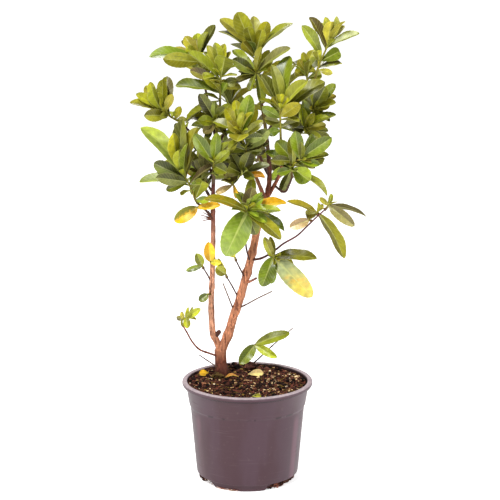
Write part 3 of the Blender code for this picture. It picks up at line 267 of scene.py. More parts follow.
# A shoot's leaves give the tip's column and row, mm back of the shoot's end, mm wide, mm down the
# stem, and tone
Shoot = namedtuple("Shoot", "name parent route slot fill leaves")
SHOOTS = (
    Shoot("crown_shoot", "mid_branch", ((255.4, 70, 2), (254.8, 62, 1), (256, 51, 0)), YOUNG, 4, (
        (237, 11.5, -8, 23, 4, FRESH), (220.5, 18, 4, 10, 2, LIGHT), (254, 15.7, 8, 15, 1, PALE),
        (267.5, 21, -6, 17, 3, FRESH), (292, 22, 6, 10, 5, LEAF), (219.8, 29.4, 10, 9, 6, DEEP),
        (247, 26, -22, 15, 2, LEAF), (262, 29, -20, 14, 4, LEAF), (242, 42, -20, 12, 7, FRESH))),
    Shoot("crown_side_shoot", "mid_branch", ((257.6, 82, -2), (256, 72, -12)), MATURE, 2, (
        (290, 47.5, -12, 11, 2, GREY), (232.5, 59, -10, 16, 3, DEEP), (274.5, 97, -18, 14, 1, DEEP),
        (232.9, 83, -6, 9, 5, DARK), (272, 57, 14, 13, 4, FRESH), (249.5, 91, -16, 8, 2, LEAF))),
    Shoot("top_right_shoot", "far_right_branch",
          ((315.7, 76, 1), (319.3, 64.3, -3), (323.4, 55, -6), (328.5, 44, -8)), YOUNG, 2, (
        (310.8, 16.5, 6, 12, 8, BRONZE), (302.8, 25.4, -10, 15, 20, SAGE), (326, 16.8, 8, 11, 3, PALE),
        (337.5, 16.5, 4, 10, 2, PALE), (344.5, 20.5, -4, 8, 4, PALE), (331, 21, -14, 15, 1, PALE),
        (359.3, 33, -4, 10, 6, LEAF), (340.3, 51, -14, 17, 24, GREEN), (340.6, 62, 4, 8, 34, DARK),
        (317, 50, -16, 12, 26, LIGHT), (332.5, 73.5, 2, 9, 36, PALE))),
    Shoot("top_left_shoot", "left_top_branch", ((202.5, 75, 12), (201, 66, 6), (199.4, 56, 0)), YOUNG,
          3, (
        (149.6, 54, -8, 14, 3, GREEN), (184.6, 36.3, 4, 15, 2, LIGHT), (215, 24.7, 4, 12, 4, DEEP),
        (195.5, 38.5, 8, 8, 1, FRESH), (163.5, 59, -16, 20, 9, LEAF), (187, 47, -16, 12, 3, FRESH),
        (172, 49, 12, 13, 6, PALE))),
    Shoot("upper_left_shoot", "left_stem", ((220, 106, -8), (220.3, 90, -16), (220.8, 74, -22)),
          YOUNG, 2, (
        (208, 45, 4, 12, 2, PALE), (215.5, 42.5, -4, 14, 3, FRESH), (224, 43.5, 2, 12, 1, FRESH),
        (229.5, 51, 6, 9, 3, FRESH), (225, 55.5, -22, 24, 5, LIGHT), (188.5, 52, -8, 12, 9, LEAF),
        (190, 70, 10, 14, 12, DUSKY), (203.6, 73, -8, 14, 22, FRESH), (226.5, 82, -8, 9, 30, VIVID),
        (236.5, 80, 4, 13, 16, DEEP), (175.8, 84, 8, 13, 26, GREEN), (184.8, 122, 16, 9, 36, LEAF))),
    Shoot("far_left_shoot", "left_high_branch", ((180, 122, -2), (171, 117, -5), (161, 109.5, -8)),
          YOUNG, 2, (
        (130, 101.7, -8, 10, 6, LEAF), (136, 93.8, -10, 12, 4, LIME), (149.5, 82.3, 0, 12, 2, LIME),
        (162, 79.5, 6, 14, 3, LEAF), (167, 76, 12, 18, 8, BRONZE), (172, 94, 8, 11, 6, PALE),
        (144.6, 115.5, -12, 17, 12, LEAF), (180.5, 106.5, -4, 10, 22, FRESH), (150, 97, -20, 12, 3, LEAF),
        (157, 92, -16, 12, 1, FRESH), (168, 77, 26, 12, 14, BRONZE))),
    Shoot("left_inner_shoot", "left_stem", ((217.6, 124, -4), (215, 121, -16)), SHADED, 3, (
        (198.2, 120, -12, 14, 2, LEAF), (203.5, 133.5, -10, 13, 3, GREY), (230, 104, -8, 14, 1, FRESH),
        (226, 128, -14, 13, 4, FRESH))),
    Shoot("left_shoot", "left_low_branch",
          ((195.5, 200, -22), (191, 188, -28), (183.5, 174, -32)), YOUNG, 2, (
        (143.2, 126.3, -12, 20, 4, MINT), (172.6, 133.4, -20, 15, 2, LIME), (180.5, 119.3, 6, 20, 5, DEEP),
        (195.5, 126.8, 0, 14, 4, FRESH), (153.5, 163, 8, 18, 7, DEEP), (139.3, 182, -4, 13, 9, SAGE),
        (156.7, 177.6, -16, 16, 12, DEEP), (214.8, 163.6, -6, 12, 16, DUSKY), (203, 180, -12, 18, 38, LEAF),
        (209.5, 199.5, -8, 10, 40, GREEN), (178, 150, -26, 12, 1, LEAF))),
    Shoot("left_dark_shoot", "left_stem", ((212.6, 190, -5), (204, 177, -2)), SHADED, 3, (
        (186, 150, 0, 14, 1, DARK), (202, 148, 8, 15, 2, GREY), (188, 169, -6, 10, 3, BRONZE),
        (197, 158, -10, 12, 2, GREY))),
    Shoot("centre_left_shoot", "left_stem", ((213.4, 183, -8), (213.4, 173, -28), (214, 162, -42)),
          MATURE, 3, (
        (194.2, 134, -6, 17, 3, GREEN), (217, 133.4, -8, 14, 2, VIVID), (229.6, 150.2, -18, 12, 4, LEAF),
        (236, 138, 8, 17, 5, LEAF), (206, 138, 12, 15, 4, DEEP), (226.5, 172, -12, 16, 7, DEEP))),
    Shoot("centre_shoot", "mid_left_branch",
          ((244, 145, -28), (242.5, 138, -38), (241, 131.5, -46)), YOUNG, 3, (
        (249.8, 95.2, -6, 19, 4, VIVID), (236, 108.6, -6, 9, 2, LIME), (242.3, 112, -12, 9, 1, LIME),
        (225.6, 108, 2, 15, 5, FRESH), (237, 140, -30, 25, 6, LIGHT), (256.5, 108, 8, 15, 7, FRESH),
        (228, 121, -8, 13, 8, FRESH))),
    Shoot("centre_right_shoot", "right_branch",
          ((280.8, 139, -28), (280.3, 122, -32), (280.4, 108, -38)), YOUNG, 2, (
        (272.5, 65, -8, 15, 5, SAGE), (305.9, 79.8, -12, 13, 4, LIGHT), (323.8, 80.4, 4, 18, 8, DEEP),
        (287.5, 55.3, 16, 21, 12, GREEN), (262.5, 74, 8, 14, 9, DEEP), (272, 97, -12, 10, 1, FRESH),
        (288, 96.5, -10, 10, 2, FRESH), (280, 93, -16, 11, 1, LIME), (300, 103.5, -12, 17, 12, LIGHT),
        (262, 107, -8, 13, 14, GREEN), (301, 120, 4, 14, 26, DEEP))),
    Shoot("right_shoot", "right_branch", ((283, 158, -18), (292.5, 160.5, -32), (301.5, 159.3, -40)),
          MATURE, 2, (
        (295.2, 131, -6, 17, 3, VIVID), (301, 142.5, -14, 9, 1, LEAF), (331.8, 137.6, -6, 18, 4, GREEN),
        (319.8, 164.8, 0, 10, 5, GREEN), (276, 141, 8, 19, 12, GREEN), (309, 148, 12, 14, 8, GREEN))),
    Shoot("right_low_shoot", "right_twig", ((291.8, 174.5, -29), (292.3, 167, -36)), MATURE, 2, (
        (309.6, 181, -8, 23, 1, GREEN), (328.6, 193.8, -6, 8, 5, LEAF), (277, 173, -4, 11, 4, GREEN),
        (302, 172, 8, 13, 3, GREEN))),
    Shoot("right_mid_shoot", "far_right_branch", ((300.5, 133, 8), (305.5, 128, -8)), MATURE, 3, (
        (335.2, 113.4, -8, 11, 2, GREEN), (326.2, 124.8, 0, 11, 3, PALE), (328.4, 130.6, 8, 8, 4, DEEP),
        (302, 108, -10, 12, 1, LIME), (314, 113, -14, 11, 2, FRESH), (322, 140, -8, 11, 5, PALE),
        (291, 127, -8, 14, 4, DARK))),
    Shoot("right_upper_shoot", "far_right_branch", ((309.5, 112, 6), (314, 108.5, -6)), MATURE, 3, (
        (325.6, 86.4, -8, 18, 2, DEEP), (329.5, 106.3, -2, 8, 4, LEAF), (308.5, 90, 4, 13, 1, LEAF),
        (336, 95, 12, 10, 5, OLIVE), (322, 121, -8, 11, 6, LEAF))),
    Shoot("small_upper_shoot", "far_right_branch", ((309.6, 92, 13), (307, 78, 17), (306.5, 69, 19)),
          YOUNG, 2, (
        (303.2, 52, 0, 9, 1, FRESH), (298, 60, -4, 10, 4, PALE), (317.6, 57.5, 4, 14, 3, DEEP),
        (313.5, 67, -10, 12, 5, PALE), (294.5, 71, 6, 12, 8, FRESH), (322, 74, 6, 12, 12, LEAF))),
    Shoot("inner_high_shoot", "mid_left_branch", ((252, 162, -20), (246, 149, -32)), SHADED, 2, (
        (268.5, 129.8, -12, 17, 1, DEEP), (263, 143, -10, 13, 2, DARK), (229, 145, -4, 15, 3, DEEP),
        (262, 151.5, -6, 9, 4, DEEP))),
    Shoot("inner_low_shoot", "mid_left_branch", ((252.5, 174, -16), (241, 173.5, -26)), SHADED, 3, (
        (250.5, 151.6, -10, 18, 1, DARK), (269.3, 164.5, -8, 10, 2, DARK), (231.5, 154, -6, 14, 2, DARK),
        (224, 179, -4, 13, 3, BRONZE), (240, 156, 8, 13, 4, DARK))),
    Shoot("rosette_shoot", "centre_twig", ((246.8, 214, -46), (247.8, 208.5, -49)), MATURE, 1, (
        (225.5, 256, -16, 34, 3, FADING), (204.8, 197, -8, 11, 4, RUSTY), (252.4, 187.5, 4, 19, 3, DUSKY),
        (263, 198.5, -8, 9, 1, GREEN), (255.5, 203, -14, 7, 1, LIME), (281, 211, -10, 10, 2, GREEN),
        (281.5, 239, -14, 16, 4, FRESH), (256.5, 235, 2, 18, 5, DEEP), (267, 222, -4, 13, 3, GREEN),
        (286, 229.5, 10, 12, 5, GREEN))),
    Shoot("drying_spray", "centre_twig", ((243.6, 219, -36), (241, 200, -30), (232.6, 183.4, -28)),
          MATURE, 1, (
        (215.6, 192.8, -6, 9, 2, TAN), (224.5, 172, 2, 8, 1, TAN), (238, 172, -6, 9, 2, BRONZE),
        (258.5, 196, 6, 5, 18, LEAF))),
    Shoot("inner_leaf_twig", "inner_twig", ((226.2, 275.5, -6), (225.4, 273.5, -8)), MATURE, 0, (
        (216, 267.5, -3, 14, 1, OLIVE), (218, 258.5, -6, 9, 1, OLIVE))),
    Shoot("left_spur_leaves", "left_spur", ((202.6, 266.5, -4), (202, 265, -5)), MATURE, 0, (
        (186, 270.8, -2, 8, 1, GREEN), (196.5, 253.5, -4, 12, 1, LEAF))),
    Shoot("left_stem_leaf", "left_stem", ((209.5, 294.5, 6), (207.6, 294, 2)), MATURE, 0, (
        (199, 301, -2, 11, 1, VIVID),)),
    Shoot("low_left_shoot", "low_left_twig", ((181.6, 323, -9), (182.4, 319.5, -10),
                                              (187, 317.5, -12)), YOUNG, 0, (
        (200.3, 308.6, -5, 10, 1, LIME), (188.4, 307, 3, 5, 2, LIME), (176.4, 317, 4, 7, 7, GREY),
        (187.5, 328.3, -7, 10, 1, FRESH), (195, 314, 6, 7, 2, LIME), (181.5, 311.5, 2, 6, 6, PALE))),
    Shoot("right_cluster", "long_twig", ((269.5, 255.5, -20), (274, 257, -27)), MATURE, 0, (
        (264.4, 237.5, -4, 11, 3, OLIVE), (270.2, 236.5, 4, 7, 1, PALE), (262, 286.5, -10, 22, 1, GREEN),
        (271.5, 284, 8, 13, 3, VIVID), (312.4, 297, -14, 26, 1, TURNING), (317.2, 257.6, -4, 14, 2, LEAF),
        (295, 264, 10, 7, 3, PALE))),
    Shoot("long_twig_shoot", "long_twig", ((326.6, 208, -47), (328.8, 204.6, -48)), MATURE, 0, (
        (354.4, 226, -12, 15, 1, GREY), (366.8, 215.6, 8, 7, 2, GREY), (319.5, 197.5, 6, 7, 1, PALE))),
    Shoot("long_twig_low_shoot", "long_twig", ((316.5, 213.4, -43), (318, 211.6, -43)), MATURE, 0, (
        (287, 201.2, -4, 8, 2, OLIVE), (344.4, 258.5, -10, 14, 1, LEAF), (305, 214.5, 8, 13, 3, OLIVE))),
    Shoot("long_twig_dry_shoot", "long_twig", ((310.5, 220, -42), (308.5, 219.8, -43)), MATURE, 0, (
        (289.5, 227.3, -4, 14, 1, TAN),)),
    Shoot("back_left_shoot", "back_left_branch", ((189.5, 155, 72), (186, 147, 78)), MATURE, 10, ()),
    Shoot("back_left_low_shoot", "back_left_branch", ((205, 180, 44), (205, 174, 58)), MATURE, 9, ()),
    Shoot("back_centre_shoot", "back_mid_branch", ((248.5, 126, 84), (246, 119, 90)), MATURE, 10, ()),
    Shoot("back_centre_low_shoot", "back_mid_branch", ((257, 161, 60), (254, 159, 74)), MATURE, 10,
          ()),
    Shoot("back_right_shoot", "back_right_branch", ((301, 131, 76), (303, 123, 82)), MATURE, 10, ()),
    Shoot("back_right_low_shoot", "back_right_branch", ((293, 166, 46), (295, 164, 58)), MATURE, 9,
          ()),
    Shoot("back_high_left_shoot", "back_high_left_branch", ((231, 108, 46), (231, 98, 52)), YOUNG,
          10, ()),
    Shoot("back_high_right_shoot", "back_high_right_branch", ((284.5, 91, 48), (286, 81, 53)), YOUNG,
          10, ()),
    Shoot("back_crown_left_shoot", "left_top_branch", ((205.5, 84, 26), (207, 74, 38)), YOUNG, 9,
          ()),
    Shoot("back_crown_shoot", "mid_branch", ((258.5, 84, 14), (259.5, 72, 32)), YOUNG, 9, ()),
    Shoot("back_middle_shoot", "back_high_left_branch", ((224.5, 134, 34), (220.5, 128, 50)), MATURE,
          9, ()),
)
print("shoots:", len(SHOOTS), "with", sum(len(shoot.leaves) for shoot in SHOOTS), "leaves that show")

# %% [markdown]
# Some leaves stand or lie by themselves: three that have yellowed on the plant, four that have
# fallen, and those of a low shoot that comes out of the soil beside a bare twig. They could be part
# of the wood, but as pieces of their own they can be moved or left out.

# %% List the single leaves and the low shoot
YELLOW_LEAVES = (
    Shoot("yellow_leaf_left", "left_low_branch", ((200.4, 208.5, -22), (197, 207, -27)), YELLOW, 0, (
        (174.5, 221.5, -4, 18, 1, HALF_GOLD),)),
    Shoot("yellow_leaf_stem", "left_stem", ((211, 262.5, -2), (210.4, 261.5, -5)), YELLOW, 0, (
        (208.5, 242.5, -4, 15, 1, GOLD),)),
    Shoot("yellow_leaf_behind", "yellowing_twig", ((235.4, 258.6, -15), (235, 257.4, -16)), YELLOW, 0, (
        (227.8, 246.5, 2, 14, 1, LEMON),)),
)

# A fallen leaf lies on the soil with its face tilted to the front, in mm and degrees
Fallen = namedtuple("Fallen", "name slot across back heading tilt length width arch tone")
FALLEN = (
    Fallen("fallen_leaf_yellow", YELLOW, -57, 28, 200, 45, 13, 10, 0.10, GOLD),
    Fallen("fallen_leaf_brown", DRY, -20, 11, 178, 20, 17, 6, 0.22, BROWN),
    Fallen("fallen_leaf_cream", DRY, 11, 19, 14, 45, 21, 11, 0.08, CREAM),
    Fallen("fallen_leaf_small", YELLOW, 12, -55, 0, 35, 12, 7, 0.10, OLIVE),
)

# The low shoot and the low twig stand in the soil by themselves
LOW_SHOOT_ROUTE = ((243.5, 369, 52), (247.5, 353, 46), (255.6, 344.2, 42))
# Painted light: the first and third leaves face away from the lamps, so their tones are painted brighter,
# lime and a brightened lime, to make up for that shade.
LOW_SHOOT_LEAVES = ((289.8, 333, -2, 14, 1, LIME), (239.5, 364, -14, 17, 1, GREEN),
                    (276.5, 357.5, -14, 12, 1, PAINTED_GLOW))
LOW_TWIG_ROUTE = ((254, 366, 62), (257.6, 359.6, 58), (271.8, 346.2, 48), (292.6, 328.2, 40))
LOW_SHOOT_RADIUS = (0.0013, 0.0010)
LOW_TWIG_RADIUS = (0.0010, 0.0008)
LOW_STEM_SIDES = 5
LOW_STEM_DEPTH = 0.012
ROOT_DEPTH = 0.035
print("single leaves:", len(YELLOW_LEAVES), "on the plant and", len(FALLEN), "on the soil")

# %% [markdown]
# The pot is a common nursery pot, 17 cm across its rim. Its collar is a wider band under the lip,
# and three notches under its foot let water out of the drain holes. Plain numbers in metres are
# enough to draw it later, and the stems need the soil's height already now.

# %% Give the measures of the pot and the soil
POT_HEIGHT = 0.132
POT_RIM_RADIUS = 0.085
POT_MOUTH_RADIUS = 0.0786
POT_FOOT_RADIUS = 0.062
POT_FOOT_HEIGHT = 0.009
POT_FLOOR = POT_FOOT_HEIGHT + 0.0005
POT_WALL = 0.0015
POT_COLLAR_HEIGHT = 0.099
POT_COLLAR_TOP = 0.126
POT_BODY_RADIUS = (0.0665, 0.0745)
POT_COLLAR_RADIUS = (0.0760, 0.0800)
POT_WELL_RADIUS = 0.042
POT_WELL_FLOOR = 0.0018
SOIL_EDGE_HEIGHT = 0.1225
SOIL_RISE = 0.0035
SOIL_MOUND = 0.0045
SOIL_ROUGHNESS = 0.0012
MOUND_X = -0.010
MOUND_Y = 0.006
LEFT_NOTCH_ANGLE = 200
NOTCH_ANGLES = (80, LEFT_NOTCH_ANGLE, 320)
NOTCH_SPAN = 52
NOTCH_HEIGHT = 0.0075
NOTCH_INNER_RADIUS = 0.044
DRAIN_SIZE = (0.010, 0.017)
DRAIN_DEPTH = 0.012
DRAIN_RADIUS = 0.053
print("pot in mm:", round(2.0 * POT_RIM_RADIUS / MM), "wide and", round(POT_HEIGHT / MM), "high")

# %% [markdown]
# Before any leaf gets its fine shape, the lesson works out where each one goes. A leaf grows from
# its shoot to its tip, and must not cut through a leaf of another shoot. So each leaf is first tried
# as a coarse blade with a little air round it, and shifted by a few millimetres until it is clear.
# The solids were placed by the same rule, which is why the fine leaves land where they are. Blender's
# BVH trees answer "do these two shapes touch" quickly.

# %% Make coarse blades and stems
SEAT_GAP = 0.0003
SHOOT_RADIUS = (0.0017, 0.0014)
SHOOT_SIDES = 4
PETIOLE_HALF_WIDTH = 0.0006
COARSE_THICKNESS = 0.0012
LEAF_ARCH = 0.07
LEAF_CLEARANCE = 0.00035
BLADE_CLEAR_OF_OWN = 0.14
BLADE_SPREAD = 1.0 / math.cos(math.radians(30.0))
LARGE_LEAF_WIDTH = 0.0205
COARSE_OUTLINE = ((0.0, 0.0), (0.42, 0.80), (0.78, 0.97), (1.0, 0.0))
COARSE_LARGE_OUTLINE = ((0.0, 0.0), (0.30, 0.66), (0.58, 1.0), (0.84, 0.82), (1.0, 0.0))
COARSE_WOOD_SIDES = ((7.0, 8), (4.0, 6), (2.0, 5), (0.0, 4))


def turned(profile, sides, first_angle=0.0):
    """A closed shape turned about Z from (radius, height) points that begin and end on the axis."""
    shape = bmesh.new()
    line = [shape.verts.new((radius, 0.0, height)) for radius, height in profile]
    edges = [shape.edges.new(pair) for pair in zip(line, line[1:])]
    bmesh.ops.spin(shape, geom=line + edges, cent=(0.0, 0.0, 0.0), axis=UPRIGHT,
                   angle=2.0 * math.pi, steps=sides, use_merge=True)
    bmesh.ops.remove_doubles(shape, verts=shape.verts, dist=1e-6)
    bmesh.ops.recalc_face_normals(shape, faces=shape.faces)
    if first_angle:
        bmesh.ops.rotate(shape, verts=shape.verts, matrix=Matrix.Rotation(first_angle, 3, "Z"))
    return shape


def as_mesh(name, shape, triangles=False):
    """A finished shape as a mesh, with its faces cut into triangles if that is asked for."""
    if triangles:
        bmesh.ops.triangulate(shape, faces=shape.faces)
    mesh = bpy.data.meshes.new(name)
    shape.to_mesh(mesh)
    shape.free()
    return mesh


def column_profile(rings):
    """Rings one unit apart, closed at both ends: what stems are bent from."""
    walls = [(1.0, float(ring)) for ring in range(rings)]
    return [(0.0, 0.0)] + walls + [(0.0, float(rings - 1))]


def spindle_profile(rings):
    """The same with its far end drawn out to a point: what coarse blades are bent from."""
    return [(0.0, 0.0)] + [(1.0, float(ring)) for ring in range(rings)] + [(0.0, float(rings))]


def ring_frames(line, start_heading=None):
    """Two directions square to a line at each of its points, with no twist from one to the next."""
    last = len(line) - 1
    headings = [(line[min(i + 1, last)] - line[max(i - 1, 0)]).normalized() for i in range(last + 1)]
    headings[0] = start_heading or headings[0]
    across = headings[0].orthogonal().normalized()
    frames = []
    for heading in headings:
        across = (across - heading * across.dot(heading)).normalized()
        frames.append((across.copy(), heading.cross(across)))
    return frames


def coarse_stem(line, radii, sides, start_heading=None):
    """A stem with flat sides along a line, which tapers evenly from its first radius."""
    frames = ring_frames(line, start_heading)
    shape = turned(column_profile(len(line)), sides)
    for vert in shape.verts:
        ring = round(vert.co.z)
        radius = radii[0] + (radii[1] - radii[0]) * ring / (len(line) - 1)
        first, second = frames[ring]
        vert.co = line[ring] + radius * (first * vert.co.x + second * vert.co.y)
    bmesh.ops.recalc_face_normals(shape, faces=shape.faces)
    return as_mesh("coarse_stem", shape, triangles=True)


coarse_blades = {}
for outline in (COARSE_OUTLINE, COARSE_LARGE_OUTLINE):
    spindle = turned(spindle_profile(len(outline) - 1), 3, -math.pi / 2.0)
    coarse_blades[len(outline) - 1] = as_mesh("coarse_blade", spindle, triangles=True)


def coarse_blade(root, tip, upper, width, arch, extra=0.0):
    """A three-sided blade from root to tip, flat above and ribbed below, grown by a little extra."""
    outline = COARSE_LARGE_OUTLINE if width > LARGE_LEAF_WIDTH else COARSE_OUTLINE
    chord = tip - root
    heading = chord.normalized()
    upper = (upper - heading * upper.dot(heading)).normalized()
    across = upper.cross(heading)
    shape = bmesh.new()
    shape.from_mesh(coarse_blades[len(outline) - 1])
    for vert in shape.verts:
        ring = round(vert.co.z)
        along, share = outline[ring]
        half_width = share * (width / 2.0 + extra) + PETIOLE_HALF_WIDTH * (share == 0.0) + extra
        rib = root + chord * along + upper * (arch * chord.length * math.sin(math.pi * along))
        if ring == len(outline) - 1:
            rib += heading * extra * 2.0
        height = math.copysign(COARSE_THICKNESS / 2.0 + extra, vert.co.y - 1e-9)
        height *= 0.0 < abs(vert.co.x) + abs(vert.co.y)
        vert.co = rib + across * half_width * vert.co.x * BLADE_SPREAD + upper * height
    return as_mesh("coarse_leaf", shape)


print("coarse blades with", [len(mesh.polygons) for mesh in coarse_blades.values()], "faces")

# %% [markdown]
# A real branch grows out of the wood of an older one. A curve could be parented to another, but
# it's simpler to move the start of each route to the nearest point of its parent's line. The trunk
# has no parent: its line starts under the soil, whose height a short formula gives.

# %% Follow the branches
# A stem that stands in the soil keeps straight for this far above it
STRAIGHT_FOOT = 0.004


def centre_line(route):
    """A route of columns, rows and depths as points in the room."""
    return [seen(*place) for place in route]


def nearest_on(line, point):
    """The closest point of a line, how far along it is from 0 to 1, and the line's heading there."""
    best = None
    for index, (start, end) in enumerate(zip(line, line[1:])):
        along = max(0.0, min(1.0, (point - start).dot(end - start) / (end - start).length_squared))
        place = start.lerp(end, along)
        distance = (place - point).length
        if best is None or distance < best[0]:
            best = (distance, place, (index + along) / (len(line) - 1), (end - start).normalized())
    return best[1:]


def soil_height(x, y):
    """The soil's top: it rises to the back and by the trunk, with shallow lumps."""
    edge = POT_COLLAR_RADIUS[1]
    away = math.hypot(x - MOUND_X, y - MOUND_Y) / edge
    lumps = math.sin(x * 210.0 + 1.0) * math.cos(y * 190.0) + 0.6 * math.sin((x - y) * 330.0)
    slope = SOIL_RISE * (1.0 + y / edge)
    mound = SOIL_MOUND * max(0.0, 1.0 - away * away)
    return SOIL_EDGE_HEIGHT + slope + mound + SOIL_ROUGHNESS * lumps


def buried(line, depth):
    """A line that starts below the soil, upright, and comes out of it at its own foot."""
    foot = Vector((line[0].x, line[0].y, soil_height(line[0].x, line[0].y)))
    return [foot - UPRIGHT * depth, foot + UPRIGHT * STRAIGHT_FOOT] + line[1:]


branch_lines = {}
branch_radii = {}
for branch in BRANCHES:
    line = centre_line(branch.route)
    if branch.parent:
        line[0] = nearest_on(branch_lines[branch.parent], line[0])[0]
    else:
        line = buried(line, ROOT_DEPTH)
    branch_lines[branch.name] = line
    branch_radii[branch.name] = (branch.start_radius * MM, branch.end_radius * MM)
print("the trunk leaves the soil at", [round(value * 1000) for value in branch_lines["trunk"][1]])

# %% [markdown]
# A leafy shoot starts on the bark of its branch, or goes on from the branch's end. Its solid starts
# a hair's breadth clear of the bark, so its line is worked out in the same way: along the shoot's
# own heading, just out of the parent's thickness.

# %% Follow the shoots
# A shoot goes on from its parent's end past this share of the parent's length
PARENT_END = 0.999
SHORTEST_STEP = 0.0015
SHORTEST_SHOOT = 0.003
# Where on its first stretch a shoot holds the leaves that are listed below its foot
LOWEST_LEAF_SHARE = 0.35


def shoot_line(shoot):
    """A shoot's stem, from just clear of its parent's bark or cut end, and the way its foot faces."""
    line = centre_line(shoot.route)
    start, along, parent_heading = nearest_on(branch_lines[shoot.parent], line[0])
    thick = branch_radii[shoot.parent]
    if along > PARENT_END:
        heading = parent_heading
        reach = SEAT_GAP
    else:
        heading = (line[0] - start).normalized()
        lean = heading.dot(parent_heading)
        parent_radius = thick[0] + (thick[1] - thick[0]) * along
        reach = (parent_radius + SEAT_GAP + SHOOT_RADIUS[0] * abs(lean)) / math.sqrt(1.0 - lean * lean)
    first = start + heading * reach
    ahead = [point for point in line if (point - first).dot(heading) > SHORTEST_STEP]
    return [first] + (ahead or [first + heading * SHORTEST_SHOOT]), heading


def point_from_end(line, distance):
    """The point a distance back from the end of a line, and the line's heading there."""
    for start, end in zip(line[-2::-1], line[:0:-1]):
        length = (end - start).length
        if distance <= length:
            return end.lerp(start, distance / length), (end - start).normalized()
        distance -= length
    start, end = line[:2]
    return start.lerp(end, LOWEST_LEAF_SHARE), (end - start).normalized()


shoot_lines = {}
coarse_stems = {}
for shoot in SHOOTS + YELLOW_LEAVES:
    line, foot_heading = shoot_line(shoot)
    shoot_lines[shoot.name] = line
    coarse_stems[shoot.name] = coarse_stem(line, SHOOT_RADIUS, SHOOT_SIDES, foot_heading)
for name, route, radii in (("low_shoot", LOW_SHOOT_ROUTE, LOW_SHOOT_RADIUS),
                           ("low_twig", LOW_TWIG_ROUTE, LOW_TWIG_RADIUS)):
    shoot_lines[name] = buried(centre_line(route), LOW_STEM_DEPTH)
    coarse_stems[name] = coarse_stem(shoot_lines[name], radii, LOW_STEM_SIDES)
print("stems of shoots:", len(shoot_lines))

# %% [markdown]
# Leaves in a real crown push each other aside. To do the same, the lesson keeps a crowd of all that
# is placed so far and asks whether a new leaf touches it. Boxes round the shapes are compared
# first, because that is cheap, and BVH trees only where the boxes overlap.

# %% Keep a crowd of what is already there
def surface_tree(mesh):
    """The faces of a mesh, sorted so that it can be asked quickly what they touch."""
    points = [vert.co for vert in mesh.vertices]
    return BVHTree.FromPolygons(points, [tuple(face.vertices) for face in mesh.polygons])


class Crowd:
    """The shapes placed so far, which a new leaf of another shoot has to stay clear of."""

    def __init__(self):
        self.trees = []

    @staticmethod
    def span(mesh):
        """The lowest and the highest corner of a mesh's box."""
        points = [vert.co for vert in mesh.vertices]
        low = Vector(min(point[axis] for point in points) for axis in range(3))
        high = Vector(max(point[axis] for point in points) for axis in range(3))
        return low, high

    def add(self, owner, mesh):
        """Keeps a shape, with the name of the piece that it belongs to."""
        self.trees.append((owner, *self.span(mesh), surface_tree(mesh)))

    def touches(self, owner, mesh):
        """Whether a mesh cuts any shape of another owner."""
        low, high = self.span(mesh)
        tree = None
        for other, other_low, other_high, other_tree in self.trees:
            if other == owner or any(high[axis] < other_low[axis] or low[axis] > other_high[axis]
                                     for axis in range(3)):
                continue
            tree = tree or surface_tree(mesh)
            if tree.overlap(other_tree):
                return True
        return False


crowd = Crowd()
for node in ("pot", "soil"):
    crowd.add(node, frame["nodes"][node].data)
for branch in BRANCHES:
    sides = next(count for thick, count in COARSE_WOOD_SIDES if branch.start_radius >= thick)
    crowd.add("woody_stems", coarse_stem(branch_lines[branch.name], branch_radii[branch.name], sides))
for name, mesh in coarse_stems.items():
    crowd.add(name, mesh)
print("shapes in the crowd:", len(crowd.trees))

# %% [markdown]
# The picture shows where a leaf's tip is and how wide the leaf looks, but not how it is turned. A
# leaf holds its upper face to its shoot's axis, or to the sky where it hangs, and it is rolled until
# it shows the width that it should. If it then touches another leaf, small shifts are tried in turn.

# %% Find a clear place for each leaf
# A leaf's least width, as a share of its length
LEAF_PROPORTION = 0.34
VIEWER = Vector((0.0, -0.98, 0.18)).normalized()
# How strongly upper faces turn to the sky, and how end-on a leaf may be before its roll is left
SKY_PULL = 0.35
LEAST_FACING = 0.3
Leaf = namedtuple("Leaf", "root tip upper width tone")
own_parts = {}
leaves = {name: [] for name in shoot_lines}
node_meshes = {name: [mesh] for name, mesh in coarse_stems.items()}


def try_leaf(node, root, tip, upper, width, tone):
    """Keeps a leaf if it is clear of all other shoots and of its own shoot's other blades."""
    trial = coarse_blade(root, tip, upper, width, LEAF_ARCH, LEAF_CLEARANCE)
    outer = coarse_blade(root.lerp(tip, BLADE_CLEAR_OF_OWN), tip, upper, width, LEAF_ARCH)
    own = own_parts.setdefault(node, Crowd())
    if crowd.touches(node, trial) or own.touches(None, outer):
        return False
    mesh = coarse_blade(root, tip, upper, width, LEAF_ARCH)
    crowd.add(node, mesh)
    own.add(node, outer)
    node_meshes[node].append(mesh)
    leaves[node].append(Leaf(root, tip, upper, width, tone))
    return True


def leaf_upper(axis, heading):
    """The way the upper face of a leaf looks: towards its shoot's axis, or up where it droops."""
    wanted = axis + UPRIGHT * (SKY_PULL + max(0.0, -heading.z))
    upper = wanted - heading * wanted.dot(heading)
    if upper.length < 1e-4:
        upper = heading.orthogonal()
    return upper.normalized()


def shown_leaf(axis, heading, shown_width, length, roll):
    """The upper side and true width of a leaf that shows the given width from the front."""
    natural = leaf_upper(axis, heading)
    facing = VIEWER - heading * VIEWER.dot(heading)
    width = max(shown_width, LEAF_PROPORTION * length)
    turn = Matrix.Rotation(math.radians(roll), 3, heading)
    if facing.length < LEAST_FACING:
        return turn @ natural, width
    facing.normalize()
    aside = heading.cross(facing)
    aside *= math.copysign(1.0, aside.dot(natural))
    share = min(1.0, shown_width / width)
    upper = aside * math.sqrt(1.0 - share * share)
    upper += facing * share * math.copysign(1.0, facing.dot(natural) + 0.05)
    return turn @ upper, width


